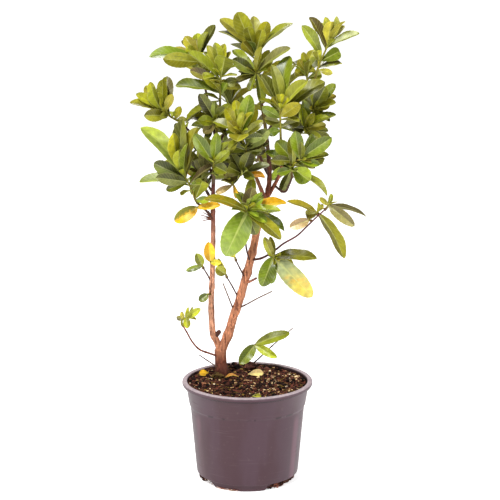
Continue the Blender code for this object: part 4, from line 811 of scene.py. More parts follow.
def named_leaf_trials():
    """Small changes to a leaf, mildest first: mm aside, mm back, mm up, degrees of roll."""
    trials = [(0, 0, 0, 0)]
    for back in (4, -4, 8, -8, 12, -12, 16, -16, 22, -22):
        for roll in (0, 25, -25):
            trials.append((0, back, 0, roll))
    for aside in (3, -3, 6, -6):
        for up in (0, 3, -3):
            for back in (0, 8, -8, 16, -16):
                trials.append((aside, back, up, 0))
    return trials


def place_named_leaf(node, line, leaf):
    """Grows a listed leaf: column, row, mm behind its shoot's end, mm wide, mm down, tone."""
    column, row, back, width, down, tone = leaf
    root, axis = point_from_end(line, down * MM)
    for aside, deeper, higher, roll in named_leaf_trials():
        tip = seen(column, row, line[-1].y / MM + back + deeper) + Vector((aside, 0.0, higher)) * MM
        length = (tip - root).length
        heading = (tip - root) / length
        upper, true_width = shown_leaf(axis, heading, width * MM, length, roll)
        if try_leaf(node, root, tip, upper, true_width, tone):
            return
    print("no room for a leaf of", node)


for leaf in LOW_SHOOT_LEAVES:
    place_named_leaf("low_shoot", shoot_lines["low_shoot"], leaf)
for shoot in YELLOW_LEAVES + SHOOTS:
    for leaf in shoot.leaves:
        place_named_leaf(shoot.name, shoot_lines[shoot.name], leaf)
print("leaves that show from the front:", sum(len(group) for group in leaves.values()))

# %% [markdown]
# The rest of each tuft, and the shoots that only show from behind, follow the way such a plant
# grows: each leaf stands a golden angle round from the last, and the lower ones lean out further.
# A rule with a seeded random generator gives the same plant each time, so every leaf still matches
# its solid.

# %% Fill the tufts
GOLDEN_ANGLE = 137.5
FILL_LEAF_LENGTH = (0.034, 0.045)
# From the top of a tuft down: the first leaf, the greatest step and the share of the stem, in metres
FILL_START = 0.001
FILL_STEP = 0.0032
FILL_REACH = 0.8
# Degrees that the highest leaf leans out, how much more the lowest does, and the fan to the back
FILL_TILT = 22.0
FILL_TILT_GROWTH = 58.0
FILL_FAN = 130.0
FILL_SEED = 12
FILL_TONES = {
    YOUNG: (FRESH, LIME, LEAF, FRESH, LIGHT),
    MATURE: (LEAF, GREEN, DEEP, DARK, GREEN),
    SHADED: (DEEP, DARK, LEAF),
}


def fill_leaf_trials():
    """Small changes to a leaf: degrees round, degrees of tilt, share of length."""
    return [(turn, tilt, share) for share in (1.0, 0.85, 0.7) for tilt in (0, 10, -10, 20)
            for turn in (0, 12, -12, 24, -24, 38, -38)]


def place_fill_leaf(node, root, axis, azimuth, tilt, length, width, tone):
    """Grows a leaf that leans out from its stem, if there is room for it."""
    for turn, lean, share in fill_leaf_trials():
        around = math.radians(azimuth + turn)
        outward = Vector((math.cos(around), math.sin(around), 0.0))
        outward = (outward - axis * outward.dot(axis)).normalized()
        angle = math.radians(tilt + lean)
        heading = axis * math.cos(angle) + outward * math.sin(angle)
        upper = leaf_upper(axis, heading)
        if try_leaf(node, root, root + heading * length * share, upper, width * share, tone):
            return


def fill_tuft(shoot, line, rng):
    """Grows the leaves of a shoot that aren't listed, from its top down."""
    shortest, longest = FILL_LEAF_LENGTH
    step = min(FILL_STEP, FILL_REACH * (line[-1] - line[0]).length / max(shoot.fill, 1))
    for number in range(shoot.fill):
        root, axis = point_from_end(line, FILL_START + step * number)
        share = (number + 0.5) / shoot.fill
        length = shortest + (longest - shortest) * share
        length *= rng.uniform(0.9, 1.1)
        width = length * LEAF_PROPORTION * rng.uniform(0.85, 1.15)
        tilt = FILL_TILT + FILL_TILT_GROWTH * share + rng.uniform(-6.0, 6.0)
        if shoot.leaves:
            azimuth = 90.0 + (number - (shoot.fill - 1) / 2.0) * FILL_FAN / shoot.fill
        else:
            azimuth = number * GOLDEN_ANGLE + rng.uniform(-10.0, 10.0)
        tones = FILL_TONES[shoot.slot]
        tone = tones[number % len(tones)]
        place_fill_leaf(shoot.name, root, axis, azimuth, tilt, length, width, tone)


rng = random.Random(FILL_SEED)
for shoot in SHOOTS:
    fill_tuft(shoot, shoot_lines[shoot.name], rng)


def farthest_corner(node):
    """How far the coarse shapes of a node reach from its solid's box, in mm."""
    low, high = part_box(node)
    spans = [Crowd.span(mesh) for mesh in node_meshes[node]]
    gaps = [abs(min(span[0][axis] for span in spans) - low[axis]) for axis in range(3)]
    gaps += [abs(max(span[1][axis] for span in spans) - high[axis]) for axis in range(3)]
    return max(gaps) / MM


worst = max(node_meshes, key=farthest_corner)
print("leaves of the solids:", sum(len(group) for group in leaves.values()))
print("furthest from its solid's box:", worst, round(farthest_corner(worst), 3), "mm")

# %% [markdown]
# The solids hold only the leaves that give each tuft its size. The real crown has more: a few that
# show plainly, some of them gold or orange, and small ones in the gaps between the others. They are
# placed last, by the same rules, so that nothing that is already there moves.

# %% Thicken the crown
# Leaves that show but aren't in the solids, listed as a shoot's leaves are, and tried in this order
EXTRA_LEAVES = (
    ("rosette_shoot", ((286.5, 201.5, 14, 12, 3, GOLD),)),
    ("left_dark_shoot", ((186.5, 171.5, -6, 7, 1, ORANGE),)),
    ("inner_low_shoot", ((265.0, 176.5, -8, 7, 1, ORANGE),)),
    ("drying_spray", ((236.5, 198.5, -5, 6, 1, GOLD),)),
    ("yellow_leaf_stem", ((221.0, 263.0, -6, 9, 1, LEMON),)),
    ("yellow_leaf_left", ((220.5, 205.0, -6, 10, 1, GOLD),)),
    ("rosette_shoot", (
        (277.0, 203.5, 10, 13, 4, OLIVE), (262.0, 192.5, -12, 7, 1, VIVID),
        (252.0, 196.5, -14, 6, 1, MINT), (266.5, 209.5, -16, 7, 1, VIVID),
        (258.5, 216.5, -16, 7, 1, GREEN))),
    ("far_left_shoot", (
        (160.5, 118.0, -14, 9, 10, SAGE), (172.5, 111.5, -10, 8, 18, LIME),
        (186.5, 119.0, -6, 8, 24, LEAF), (151.0, 87.5, -14, 8, 1, LIME))),
    ("left_shoot", (
        (163.5, 146.0, -22, 10, 3, LIME), (186.0, 143.0, -16, 11, 3, GREEN),
        (166.0, 190.0, 6, 11, 12, DEEP))),
    ("centre_right_shoot", ((264.5, 119.0, 2, 13, 20, DEEP), (267.5, 133.0, 2, 12, 30, GREEN))),
    ("inner_high_shoot", ((266.0, 150.0, -6, 13, 2, DARK),)),
    ("centre_shoot", ((262.5, 121.0, -2, 12, 10, LEAF), (262.5, 137.0, -4, 13, 14, DEEP))),
    ("crown_side_shoot", ((262.0, 103.0, -8, 12, 2, GREEN),)),
    ("right_shoot", ((271.5, 160.0, 2, 13, 14, DEEP),)),
)
# How many smaller leaves each shoot gets in the gaps between the others
THICKENED = {
    "left_dark_shoot": 7, "left_inner_shoot": 7, "inner_high_shoot": 7, "inner_low_shoot": 8,
    "right_mid_shoot": 6, "right_upper_shoot": 5, "centre_shoot": 5, "centre_right_shoot": 5,
    "left_shoot": 5, "centre_left_shoot": 7, "crown_side_shoot": 5, "rosette_shoot": 6,
    "right_shoot": 6, "right_low_shoot": 4, "upper_left_shoot": 5, "top_left_shoot": 4,
    "small_upper_shoot": 3, "far_left_shoot": 3, "crown_shoot": 3, "top_right_shoot": 2,
}
SMALL_LEAF_LENGTH = (0.020, 0.033)
THICKENED_REACH = 0.7
THICKENED_SEED = 31
SHADE_TONES = {YOUNG: (LEAF, FRESH, GREEN), MATURE: (DEEP, GREEN, DARK), SHADED: (DARK, DEEP)}
for node, group in EXTRA_LEAVES:
    for leaf in group:
        place_named_leaf(node, shoot_lines[node], leaf)
rng = random.Random(THICKENED_SEED)
for shoot in SHOOTS:
    line = shoot_lines[shoot.name]
    tones = SHADE_TONES[shoot.slot]
    for number in range(THICKENED.get(shoot.name, 0)):
        depth = THICKENED_REACH * (line[-1] - line[0]).length * rng.random()
        root, axis = point_from_end(line, FILL_START + depth)
        length = rng.uniform(*SMALL_LEAF_LENGTH)
        azimuth = rng.uniform(0.0, 360.0)
        tilt = rng.uniform(40.0, 85.0)
        tone = tones[number % len(tones)]
        place_fill_leaf(shoot.name, root, axis, azimuth, tilt, length, length * LEAF_PROPORTION, tone)
print("leaves with the extra ones:", sum(len(group) for group in leaves.values()))

# %% [markdown]
# Bark is no single colour either: on this plant it goes from grey brown at the soil to orange and
# red in the twigs. A colour is kept on each vertex in a layer called tint, so that one bark material
# can serve them all. Screens show colours in shares that aren't linear, so they are converted here.

# %% Mix the paints
TONES.update({
    "umber": (0.37, 0.21, 0.16), "plum": (0.46, 0.25, 0.25), "rose": (0.70, 0.44, 0.38),
    "peach": (0.94, 0.68, 0.54), "copper": (0.86, 0.57, 0.42), "sienna": (0.66, 0.38, 0.28),
    "russet": (0.54, 0.30, 0.22), "dusk": (0.36, 0.24, 0.20), "straw": (0.66, 0.54, 0.46),
    "moss": (0.46, 0.40, 0.16), "sprig": (0.64, 0.62, 0.22), "root": (0.66, 0.52, 0.38),
    "blush": (1.00, 0.88, 0.82),
})
# How bright the tones are painted
LEAF_GAIN = 0.78
BARK_GAIN = 0.68


def screen_tone(share):
    """The linear value of a colour share that was read off a screen."""
    return share / 12.92 if share <= 0.04045 else ((share + 0.055) / 1.055) ** 2.4


def paint(name, brightness=LEAF_GAIN):
    """A tone as linear colour, ready for a vertex."""
    return Vector(screen_tone(share) for share in TONES[name]) * brightness


print("tones of leaves and bark:", len(TONES))

# %% [markdown]
# Now the fine shapes. A stem could be a curve with a round bevel, but then its knots would need
# shapes of their own. Here it is a turned column that is bent, ring by ring, along a smooth curve.
# Bark is never quite round, so each ring is pushed in and out by noise, and swells at the knots
# where old leaves were.

# %% Bend a column into a stem
BARK_LUMPS = 260.0
BARK_GRAIN = 900.0


def smooth_line(points, step):
    """A smooth curve through the points of a route, with a point about every step."""
    last = len(points) - 1
    slopes = [(points[min(i + 1, last)] - points[max(i - 1, 0)]).normalized() for i in range(last + 1)]
    curve = [points[0]]
    for start, end, leave, arrive in zip(points, points[1:], slopes, slopes[1:]):
        span = (end - start).length
        count = max(3, round(span / step) + 1)
        handles = (start + leave * span / 3.0, end - arrive * span / 3.0)
        curve += geometry.interpolate_bezier(start, *handles, end, count)[1:]
    return curve


def distances(curve):
    """How far along a curve each of its points is."""
    runs = [0.0]
    for start, end in zip(curve, curve[1:]):
        runs.append(runs[-1] + (end - start).length)
    return runs


def tone_along(tones, share):
    """The colour at a share of a stem's length, between evenly spaced tones."""
    place = share * (len(tones) - 1)
    index = min(int(place), len(tones) - 2)
    return tones[index].lerp(tones[index + 1], place - index)


def stem_mesh(curve, radius_at, sides, tones, roughness=0.05):
    """A stem along a curve, with a rounded end; radius_at gives its radius at a distance."""
    heading = (curve[-1] - curve[-2]).normalized()
    end_radius = radius_at(distances(curve)[-1])
    curve = curve + [curve[-1] + heading * end_radius * reach for reach in (0.35, 0.6)]
    runs = distances(curve)
    frames = ring_frames(curve)
    shape = turned(column_profile(len(curve)), sides)
    tint = shape.verts.layers.float_color.new("tint")
    for vert in shape.verts:
        ring = round(vert.co.z)
        radius = radius_at(runs[ring])
        if ring >= len(curve) - 2:
            radius *= 0.82 if ring == len(curve) - 2 else 0.45
        first, second = frames[ring]
        outward = first * vert.co.x + second * vert.co.y
        place = curve[ring] + outward * radius
        ripple = noise.noise(place * BARK_LUMPS) + 0.6 * noise.noise(place * BARK_GRAIN)
        vert.co = place + outward * radius * roughness * ripple
        colour = tone_along(tones, runs[ring] / runs[-1]) * (1.0 + 0.25 * ripple)
        vert[tint] = (*colour, 1.0)
    bmesh.ops.recalc_face_normals(shape, faces=shape.faces)
    return as_mesh("stem", shape)


def taper(start, end, length, flare=0.0, reach=0.006, knots=()):
    """A radius that narrows along a stem, swells at its foot, and bulges at knots."""
    def radius_at(run):
        radius = start + (end - start) * min(1.0, run / length)
        radius *= 1.0 + flare * math.exp(-run / reach)
        for place, size in knots:
            radius *= 1.0 + size * math.exp(-((run - place) / (radius * 0.9)) ** 2)
        return radius
    return radius_at


def knots_along(length, spacing, rng):
    """Knots at uneven distances along a stem: how far along, and how much they bulge."""
    places = []
    run = spacing * rng.uniform(0.3, 0.9)
    while run < length - spacing * 0.4:
        places.append((run, rng.uniform(0.10, 0.30)))
        run += spacing * rng.uniform(0.5, 1.4)
    return places


print("a stem of 2 mm narrows halfway to", round(taper(0.002, 0.001, 1.0)(0.5) / MM, 2), "mm")

# %% [markdown]
# The wood is a short trunk that forks into a thin left stem and a thicker right one, with twigs and
# a cut spur. A skin modifier could thicken a drawing of it, but it wouldn't give each branch its own
# radii, knots and tones. So each branch is bent by itself, and its foot sits in its parent's wood.

# %% Grow the woody stems
BARK_TONES = {
    "trunk": ("umber", "umber", "umber", "russet", "copper"),
    "left_stem": ("copper", "peach", "peach", "peach", "rose", "plum", "moss", "sprig"),
    "right_stem": ("copper", "copper", "copper", "copper", "sienna"), "knot": ("dusk", "umber"),
    "mid_left_branch": ("sienna", "moss"), "mid_branch": ("sienna", "dusk", "moss", "moss"),
    "right_branch": ("sienna", "russet"), "bare_twig_right": ("dusk", "straw"),
    "bare_twig_left": ("dusk", "straw"), "cut_spur": ("copper", "rose"), "low_bare_twig": ("straw", "dusk"),
    "low_left_twig": ("russet", "sienna"), "long_twig": ("umber", "plum", "plum"),
}
# A branch counts as thick from this radius on
THICK_BRANCH = 0.004
branch_curves = {}
wood_meshes = []
for branch in BRANCHES:
    curve = smooth_line(branch_lines[branch.name], 0.0035)
    length = distances(curve)[-1]
    start, end = branch_radii[branch.name]
    rng = random.Random(branch.name)
    thick = start > THICK_BRANCH
    knots = knots_along(length, 0.030 if thick else 0.016, rng)
    flare = 0.12 if branch.parent else 0.0
    radius_at = taper(start, end, length, flare, start * 1.5, knots)
    names = BARK_TONES.get(branch.name, ("dusk", "dusk"))
    tones = [paint(name, BARK_GAIN) for name in names]
    sides = 28 if thick else 14
    branch_curves[branch.name] = curve
    wood_meshes.append(stem_mesh(curve, radius_at, sides, tones, roughness=0.07 if thick else 0.05))
print("branches:", len(wood_meshes), "with", sum(len(mesh.polygons) for mesh in wood_meshes), "faces")

# %% [markdown]
# On the real plant one stem runs into the next without a seam. Here each piece stands in for one
# solid, so its parts are joined into one mesh, and an edge is only kept sharp where two faces meet
# at more than 50 degrees. Every piece rides on the pot's body, because nothing turns or slides.

# %% Join meshes into a piece
SHARP_ANGLE = math.radians(50.0)
finishes = {}


def add_piece(name, mesh, material_names):
    """An object for a finished mesh, which stands in for its solid and rides on the pot's body."""
    piece = in_scene(name + "_detail", mesh)
    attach(piece, "root")
    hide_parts(name)
    finishes[name] = material_names
    return piece


def joined(parts):
    """One mesh from several, each given with the number of its material slot."""
    whole = bmesh.new()
    for mesh, material_index in parts:
        first = len(whole.faces)
        whole.from_mesh(mesh)
        whole.faces.ensure_lookup_table()
        for face in whole.faces[first:]:
            face.material_index = material_index
            face.smooth = True
    for edge in whole.edges:
        edge.smooth = len(edge.link_faces) == 2 and edge.calc_face_angle() < SHARP_ANGLE
    return as_mesh("piece", whole)


print("pieces so far:", len(finishes))

# %% [markdown]
# On the left stem a shoot has died back to a tuft of short stubs, which are thin spikes from one
# point of the bark. With them the wood is complete. The bare low twig stands in the soil by itself,
# so it is a piece of its own.

# %% Join the wood
# Where the tips of the short dead stubs on the left stem show
STUB_CLUSTER = ((203.5, 212.5), (201, 218), (208.5, 211), (206.5, 217), (211, 213), (202.5, 221),
                (200.5, 215), (205.5, 210.5), (208, 214.5), (204, 216))
stub_root = nearest_on(branch_curves["left_stem"], seen(212, 220, -2))[0]
for column, row in STUB_CLUSTER:
    tip = seen(column, row, -7)
    bend = stub_root.lerp(tip, 0.5) + UPRIGHT * 0.001
    curve = smooth_line([stub_root, bend, tip], 0.002)
    stub = stem_mesh(curve, taper(0.0013, 0.0006, 0.012), 6, [paint("dusk"), paint("sienna")])
    wood_meshes.append(stub)
wood = add_piece("woody_stems", joined([(mesh, 0) for mesh in wood_meshes]), ["bark"])
twig_curve = smooth_line(shoot_lines["low_twig"], 0.003)
radius_at = taper(0.0011, 0.0007, 0.07, knots=((0.03, 0.4), (0.055, 0.5)))
twig = stem_mesh(twig_curve, radius_at, 10, [paint("dusk"), paint("straw")])
add_piece("low_twig", joined([(twig, 0)]), ["bark"])
print("bark faces:", len(wood.data.polygons))

# %% [markdown]
# One leaf is a thin closed slab: a grid for the upper face, made solid with an underside. Its
# vertices are then carried to a real leaf's place: out to the outline, up or down for the fold along
# the rib, and along the arch from root to tip. A leaf's two faces differ: the upper one is dark and
# glossy, the lower one pale and dull. So each face's colour is kept on its own vertices, and the
# alpha of that colour says which side it is.

# %% Cut the blanks of leaves
LEAF_THICK = 0.00045
PETIOLE_THICK = 0.0011


def leaf_blank(columns, rows):
    """A flat slab: x from -1 to 1 across the leaf, y from 0 to 1 along it, z 0 below and 1 above."""
    shape = bmesh.new()
    pattern = shape.loops.layers.uv.new("leaf")
    bmesh.ops.create_grid(shape, x_segments=columns, y_segments=rows, size=1.0)
    bmesh.ops.solidify(shape, geom=shape.faces[:], thickness=1.0)
    for vert in shape.verts:
        along = (vert.co.y + 1.0) / 2.0
        along = 0.5 * along + 0.5 * math.sin(along * math.pi / 2.0)
        across = vert.co.x * abs(vert.co.x) ** 0.8
        vert.co = Vector((across, along, vert.co.z + 1.0))
    for face in shape.faces:
        for loop in face.loops:
            loop[pattern].uv = (loop.vert.co.x / 2.0 + 0.5, loop.vert.co.y)
    shape.verts.layers.float_color.new("tint")
    return as_mesh("leaf_blank", shape)


fine_blank = leaf_blank(6, 20)
bud_blank = leaf_blank(4, 8)
print("faces of a leaf:", len(fine_blank.polygons), "of a bud:", len(bud_blank.polygons))

# %% [markdown]
# An escallonia leaf is narrow at its foot, widest near its tip and finely toothed. One leaf could be
# modelled by hand and copied, but that makes a plant of twins. So a formula gives the outline, and
# each leaf draws a form of its own: how much it folds, twists, waves and curls.

# %% Shape a leaf
# As shares of a leaf's length: where its stalk ends, and where its teeth begin
PETIOLE_SHARE = 0.16
TEETH_START = 0.25
# How far the rib stands out of the upper face, and out of the underside at the foot
RIB_RISE = 0.00015
RIB_DROP = 0.00045
# The greatest values of the two outline formulas, which bring them to 1 at a leaf's widest place
ELLIPTIC_PEAK = 0.4453
BROAD_TIP_PEAK = 0.3325
TOOTH_DEPTH = 0.00035


def half_outline(along, elliptic):
    """A leaf's half width at a share of its length, 1 at its widest."""
    if elliptic:
        return along ** 0.62 * (1.0 - along) ** 0.55 / ELLIPTIC_PEAK
    return along ** 1.10 * (1.0 - along) ** 0.60 / BROAD_TIP_PEAK + 0.03 * along ** 8


def leaf_mesh(blank, leaf, form, colour_at):
    """Bends a blank into one leaf. The form has its arch, fold, twist, wave, curl and teeth."""
    chord = leaf.tip - leaf.root
    heading = chord.normalized()
    upper = (leaf.upper - heading * leaf.upper.dot(heading)).normalized()
    across = upper.cross(heading)
    shape = bmesh.new()
    shape.from_mesh(blank)
    tint = shape.verts.layers.float_color["tint"]
    rows = sorted({round(vert.co.y, 5) for vert in shape.verts})
    row_number = {row: number for number, row in enumerate(rows)}
    for vert in shape.verts:
        side, along, top = vert.co
        edge = abs(side)
        half = half_outline(min(along, 1.0), form["elliptic"]) * leaf.width / 2.0
        half = max(half, PETIOLE_HALF_WIDTH * (1.2 - along))
        if edge > 0.99 and row_number[round(along, 5)] % 2 and along > TEETH_START:
            half -= form["teeth"]
        turn = form["twist"] * (along - 0.4)
        level = upper * math.cos(turn) + across * math.sin(turn)
        sideways = across * math.cos(turn) - upper * math.sin(turn)
        rib = leaf.root + chord * along
        rib += upper * form["arch"] * chord.length * math.sin(math.pi * along)
        rib -= upper * form["curl"] * chord.length * max(0.0, along - 0.7) ** 2
        lift = form["fold"] * (edge ** 1.2 - 0.42) * half
        lift += form["wave"] * edge ** 2 * math.sin(along * 14.0 + form["phase"] + 1.5 * (side > 0))
        petiole = max(0.0, 1.0 - along / PETIOLE_SHARE)
        thick = LEAF_THICK + (PETIOLE_THICK - LEAF_THICK) * petiole
        height = lift * (1.0 - petiole) + thick * (top - 0.5)
        if edge < 0.05:
            height -= RIB_RISE if top > 0.5 else RIB_DROP * (1.0 - 0.7 * along)
        vert.co = rib + sideways * side * half + level * height
        vert[tint] = (*colour_at(side, along, top, vert.co), top)
    bmesh.ops.recalc_face_normals(shape, faces=shape.faces)
    return as_mesh("leaf", shape)


def leaf_form(rng, size=1.0, elliptic=False):
    """The form of one leaf, drawn at random; size is 1 for a full-grown leaf."""
    return {"elliptic": elliptic, "arch": LEAF_ARCH, "fold": rng.uniform(0.30, 0.75),
            "twist": rng.uniform(-0.35, 0.35), "wave": rng.uniform(0.0002, 0.0009) * size,
            "phase": rng.uniform(0.0, 6.0), "curl": rng.uniform(0.0, 0.8), "teeth": TOOTH_DEPTH * size}


print("share of its full width that a leaf has at its middle:", round(half_outline(0.5, False), 2))

# %% [markdown]
# The tones were read off the picture, so a tone belongs to the side of the leaf that faces the
# camera. The other side is worked out from it: paler if that is the underside, greener if it is the
# upper side. A leaf that turns, rusts or fades changes along its length, and one that is half gold
# changes across its rib. The green of living leaves also varies a little in hue, as on a real twig.

# %% Colour a leaf
def blend(first, second, share):
    """A colour between two others, by a share that is kept from 0 to 1."""
    return first.lerp(second, max(0.0, min(1.0, share)))


FADED_TONES = (LEMON, GOLD, HALF_GOLD, CREAM, BROWN, TAN, ORANGE, TURNING)


def leaf_sides(leaf, brightness):
    """The colours of the under and the upper face of a leaf."""
    shown = paint(leaf.tone, brightness)
    middle = leaf.root.lerp(leaf.tip, 0.6)
    if (EYE - middle).dot(leaf.upper) > 0.0:
        return blend(shown, paint(PALE, brightness), 0.40), shown
    if leaf.tone in FADED_TONES:
        return shown, shown
    return shown, blend(shown, paint(GREEN, brightness), 0.6)


def leaf_colours(leaf, rng, gain=LEAF_GAIN):
    """A function that gives the colour at each place of a leaf."""
    brightness = gain * rng.uniform(0.70, 1.36)
    if leaf.tone in FADED_TONES:
        brightness = max(gain, 1.0) * rng.uniform(0.94, 1.06)
    under, over = leaf_sides(leaf, brightness)
    ends = {TURNING: (paint(TURNING), paint(LEMON, 0.76).lerp(paint(CREAM, 0.76), 0.4), 0.5),
            RUSTY: (paint(LEAF), paint(RUSTY), 0.4), FADING: (paint(FADING), paint(MINT, 0.68), 0.45)}
    # Painted light and shade: one half of a green leaf is painted lighter with a sage or silver painted
    # sheen, and the other half is painted darker.
    lit_side = rng.choice((-1.0, 1.0))
    sheen_tone = SHEEN_SILVER if leaf.tone in (DEEP, DARK, GREY, DUSKY) and rng.random() < 0.3 else SAGE
    painted_sheen = rng.uniform(0.05, 0.42)
    living = leaf.tone not in FADED_TONES
    hue = rng.uniform(-0.6, 1.1) * living
    warmth = Vector((1.0 + living * (0.04 - 0.09 * hue), 1.0 + 0.05 * hue, 1.0 - living * 0.40))

    def colour_at(side, along, top, place):
        colour = blend(under, over, top)
        speckle = noise.noise(place * 420.0)
        if leaf.tone in ends:
            first, second, middle = ends[leaf.tone]
            edge = 0.5 * abs(side) ** 3 * (leaf.tone == TURNING)
            colour = blend(first, second, (along - middle) * 2.8 + 0.5 + 0.5 * speckle - edge)
            if leaf.tone != FADING:
                colour = blend(colour, paint(BROWN), (speckle - 0.26) * 1.5)
        elif leaf.tone == HALF_GOLD:
            colour = blend(paint(LEAF), paint(GOLD, 1.0), side * 3.0 + 0.75 + 0.8 * speckle)
        else:
            # The lit half gets the painted sheen and painted light, the other half painted shade.
            pale = max(0.0, min(1.0, 0.5 + side * lit_side * 5.0))
            colour = blend(colour, paint(sheen_tone, brightness), pale * painted_sheen) * (0.69 + 0.45 * pale)
        warm = max(0.0, abs(side) - 0.6) * 0.25 + max(0.0, along - 0.8) * 0.5
        colour = blend(colour, paint(OLIVE, brightness), warm * (0.5 + 0.5 * speckle))
        # Painted shade: each leaf is darker towards its foot, where its tuft shades it.
        depth = 0.72 + 0.28 * min(1.0, along * 1.6)
        colour = colour * depth * (1.0 + 0.24 * speckle)
        return Vector(value * factor for value, factor in zip(colour, warmth))

    return colour_at


print("tones of leaves that are past green:", len(FADED_TONES))

# %% [markdown]
# A shoot of the real plant is a soft stem with leaves all round it and buds at its end. One leaf
# could be scattered on it as instances, but here each leaf has a place and a tone of its own. So a
# shoot is built leaf by leaf on its smooth stem, which starts inside its parent's bark.

# %% Dress every shoot
# The shoots whose leaves are widest in the middle; the others' are widest near the tip
ELLIPTIC = ("low_shoot", "right_cluster", "rosette_shoot", "long_twig_shoot", "long_twig_low_shoot",
            "long_twig_dry_shoot", "low_left_shoot", "left_stem_leaf", "left_spur_leaves",
            "inner_leaf_twig", "yellow_leaf_left", "yellow_leaf_stem")
BUD_TONES = {YOUNG: LIME, MATURE: FRESH, SHADED: LEAF}
BUD_COUNT = 4


def shoot_stem(shoot_name, parent):
    """The stem of a shoot, which grows out of its parent's bark."""
    points = shoot_lines[shoot_name]
    if parent:
        points = [nearest_on(branch_curves[parent], points[0])[0]] + points
    return smooth_line(points, 0.003)


def bud_leaves(curve, tone, rng):
    """Small young leaves that stand round the very end of a shoot."""
    end = curve[-1]
    axis = (end - curve[-3]).normalized()
    start = rng.uniform(0.0, 360.0)
    buds = []
    for number in range(BUD_COUNT):
        around = math.radians(start + number * GOLDEN_ANGLE)
        outward = Matrix.Rotation(around, 3, axis) @ axis.orthogonal().normalized()
        lean = math.radians(12.0 + 9.0 * number)
        heading = axis * math.cos(lean) + outward * math.sin(lean)
        length = 0.008 + 0.0035 * number
        upper = (axis - heading * axis.dot(heading)).normalized()
        root = end - axis * 0.0012 * number
        buds.append(Leaf(root, root + heading * length, upper, length * 0.36, tone))
    return buds


def dress_shoot(name, parent, tone, with_buds):
    """Makes the piece of one shoot: its stem, its leaves and, on most, the buds at its end."""
    rng = random.Random(name)
    curve = shoot_stem(name, parent)
    length = distances(curve)[-1]
    tone_names = ("moss", "sprig", "sprig") if tone == LIME else ("dusk", "moss", "sprig")
    radius_at = taper(0.0016, 0.0012, length, flare=0.25, reach=0.003)
    stem_tones = [paint(tone_name) for tone_name in tone_names]
    parts = [(stem_mesh(curve, radius_at, 10, stem_tones, roughness=0.04), 1)]
    for leaf in leaves[name]:
        root = nearest_on(curve, leaf.root)[0]
        leaf = leaf._replace(root=root)
        form = leaf_form(rng, 1.0, name in ELLIPTIC)
        if leaf.width > LARGE_LEAF_WIDTH:
            form["fold"] *= 0.5
        if name in ELLIPTIC:
            form["fold"] *= 0.6
            form["twist"] *= 0.4
        parts.append((leaf_mesh(fine_blank, leaf, form, leaf_colours(leaf, rng)), 0))
    if with_buds:
        for bud in bud_leaves(curve, tone, rng):
            parts.append((leaf_mesh(bud_blank, bud, leaf_form(rng, 0.4), leaf_colours(bud, rng)), 0))
    add_piece(name, joined(parts), [slot_of_node[name], "shoot_stem"])


for shoot in SHOOTS:
    dress_shoot(shoot.name, shoot.parent, BUD_TONES[shoot.slot], with_buds=len(leaves[shoot.name]) > 2)
for shoot in YELLOW_LEAVES:
    dress_shoot(shoot.name, shoot.parent, OLIVE, with_buds=False)
dress_shoot("low_shoot", None, FRESH, with_buds=False)
print("dressed pieces:", len(finishes))

# %% [markdown]
# The pot is moulded plastic, so it is one turned wall: a section is drawn as radius and height and
# spun round. Its lip is rolled over, a collar band sits below the rim, and the foot steps in. Round
# corners are short arcs, because a bevel would round the collar's steps and the lip alike.

# %% Draw the section of the pot
def arc(centre, radius, start, end, count):
    """Points on a rounded corner of a section, between two angles in degrees."""
    angles = [math.radians(start + (end - start) * step / count) for step in range(count + 1)]
    x, z = centre
    return [(x + radius * math.cos(angle), z + radius * math.sin(angle)) for angle in angles]


def pot_inner_radius(height):
    """How wide the pot is inside at a height, below its collar or in it."""
    low, high = POT_BODY_RADIUS
    collar_low, collar_high = POT_COLLAR_RADIUS
    if height <= POT_COLLAR_HEIGHT:
        share = (height - POT_FOOT_HEIGHT) / (POT_COLLAR_HEIGHT - POT_FOOT_HEIGHT)
        return low + (high - low) * share - POT_WALL
    share = (height - POT_COLLAR_HEIGHT) / (POT_COLLAR_TOP - POT_COLLAR_HEIGHT)
    return collar_low + (collar_high - collar_low) * share - POT_WALL


low, high = POT_BODY_RADIUS
collar_low, collar_high = POT_COLLAR_RADIUS
ledge = POT_COLLAR_HEIGHT
foot_rounding = 0.0008
lip_rounding = 0.0022
mouth_rounding = 0.0012
lip = POT_RIM_RADIUS - lip_rounding
pot_section = [(0.0, 0.0)]
pot_section += arc((POT_FOOT_RADIUS - foot_rounding, foot_rounding), foot_rounding, -90, 0, 4)
pot_section += [(POT_FOOT_RADIUS + 0.0006, POT_FOOT_HEIGHT - 0.0006),
                (POT_FOOT_RADIUS + 0.0011, POT_FOOT_HEIGHT)]
pot_section += arc((low - 0.0012, POT_FOOT_HEIGHT + 0.0011), 0.0011, -90, 0, 5)
pot_section += [(low + (high - low) * share, POT_FOOT_HEIGHT + (ledge - POT_FOOT_HEIGHT) * share)
                for share in (0.05, 0.2, 0.4, 0.6, 0.8, 0.97)]
pot_section += [(high + 0.0001, ledge), (high + 0.0006, ledge + 0.0007),
                (collar_low - 0.0004, ledge + 0.0016), (collar_low, ledge + 0.0026),
                (collar_high - 0.0001, POT_COLLAR_TOP - 0.0006), (collar_high + 0.0006, POT_COLLAR_TOP)]
pot_section += arc((lip, POT_COLLAR_TOP + 0.0018), 0.0018, -90, -8, 5)
pot_section += [(POT_RIM_RADIUS, POT_COLLAR_TOP + 0.0024)]
pot_section += arc((lip, POT_HEIGHT - lip_rounding), lip_rounding, 0, 90, 7)
pot_section += arc((POT_MOUTH_RADIUS + mouth_rounding, POT_HEIGHT - mouth_rounding),
                   mouth_rounding, 90, 180, 5)
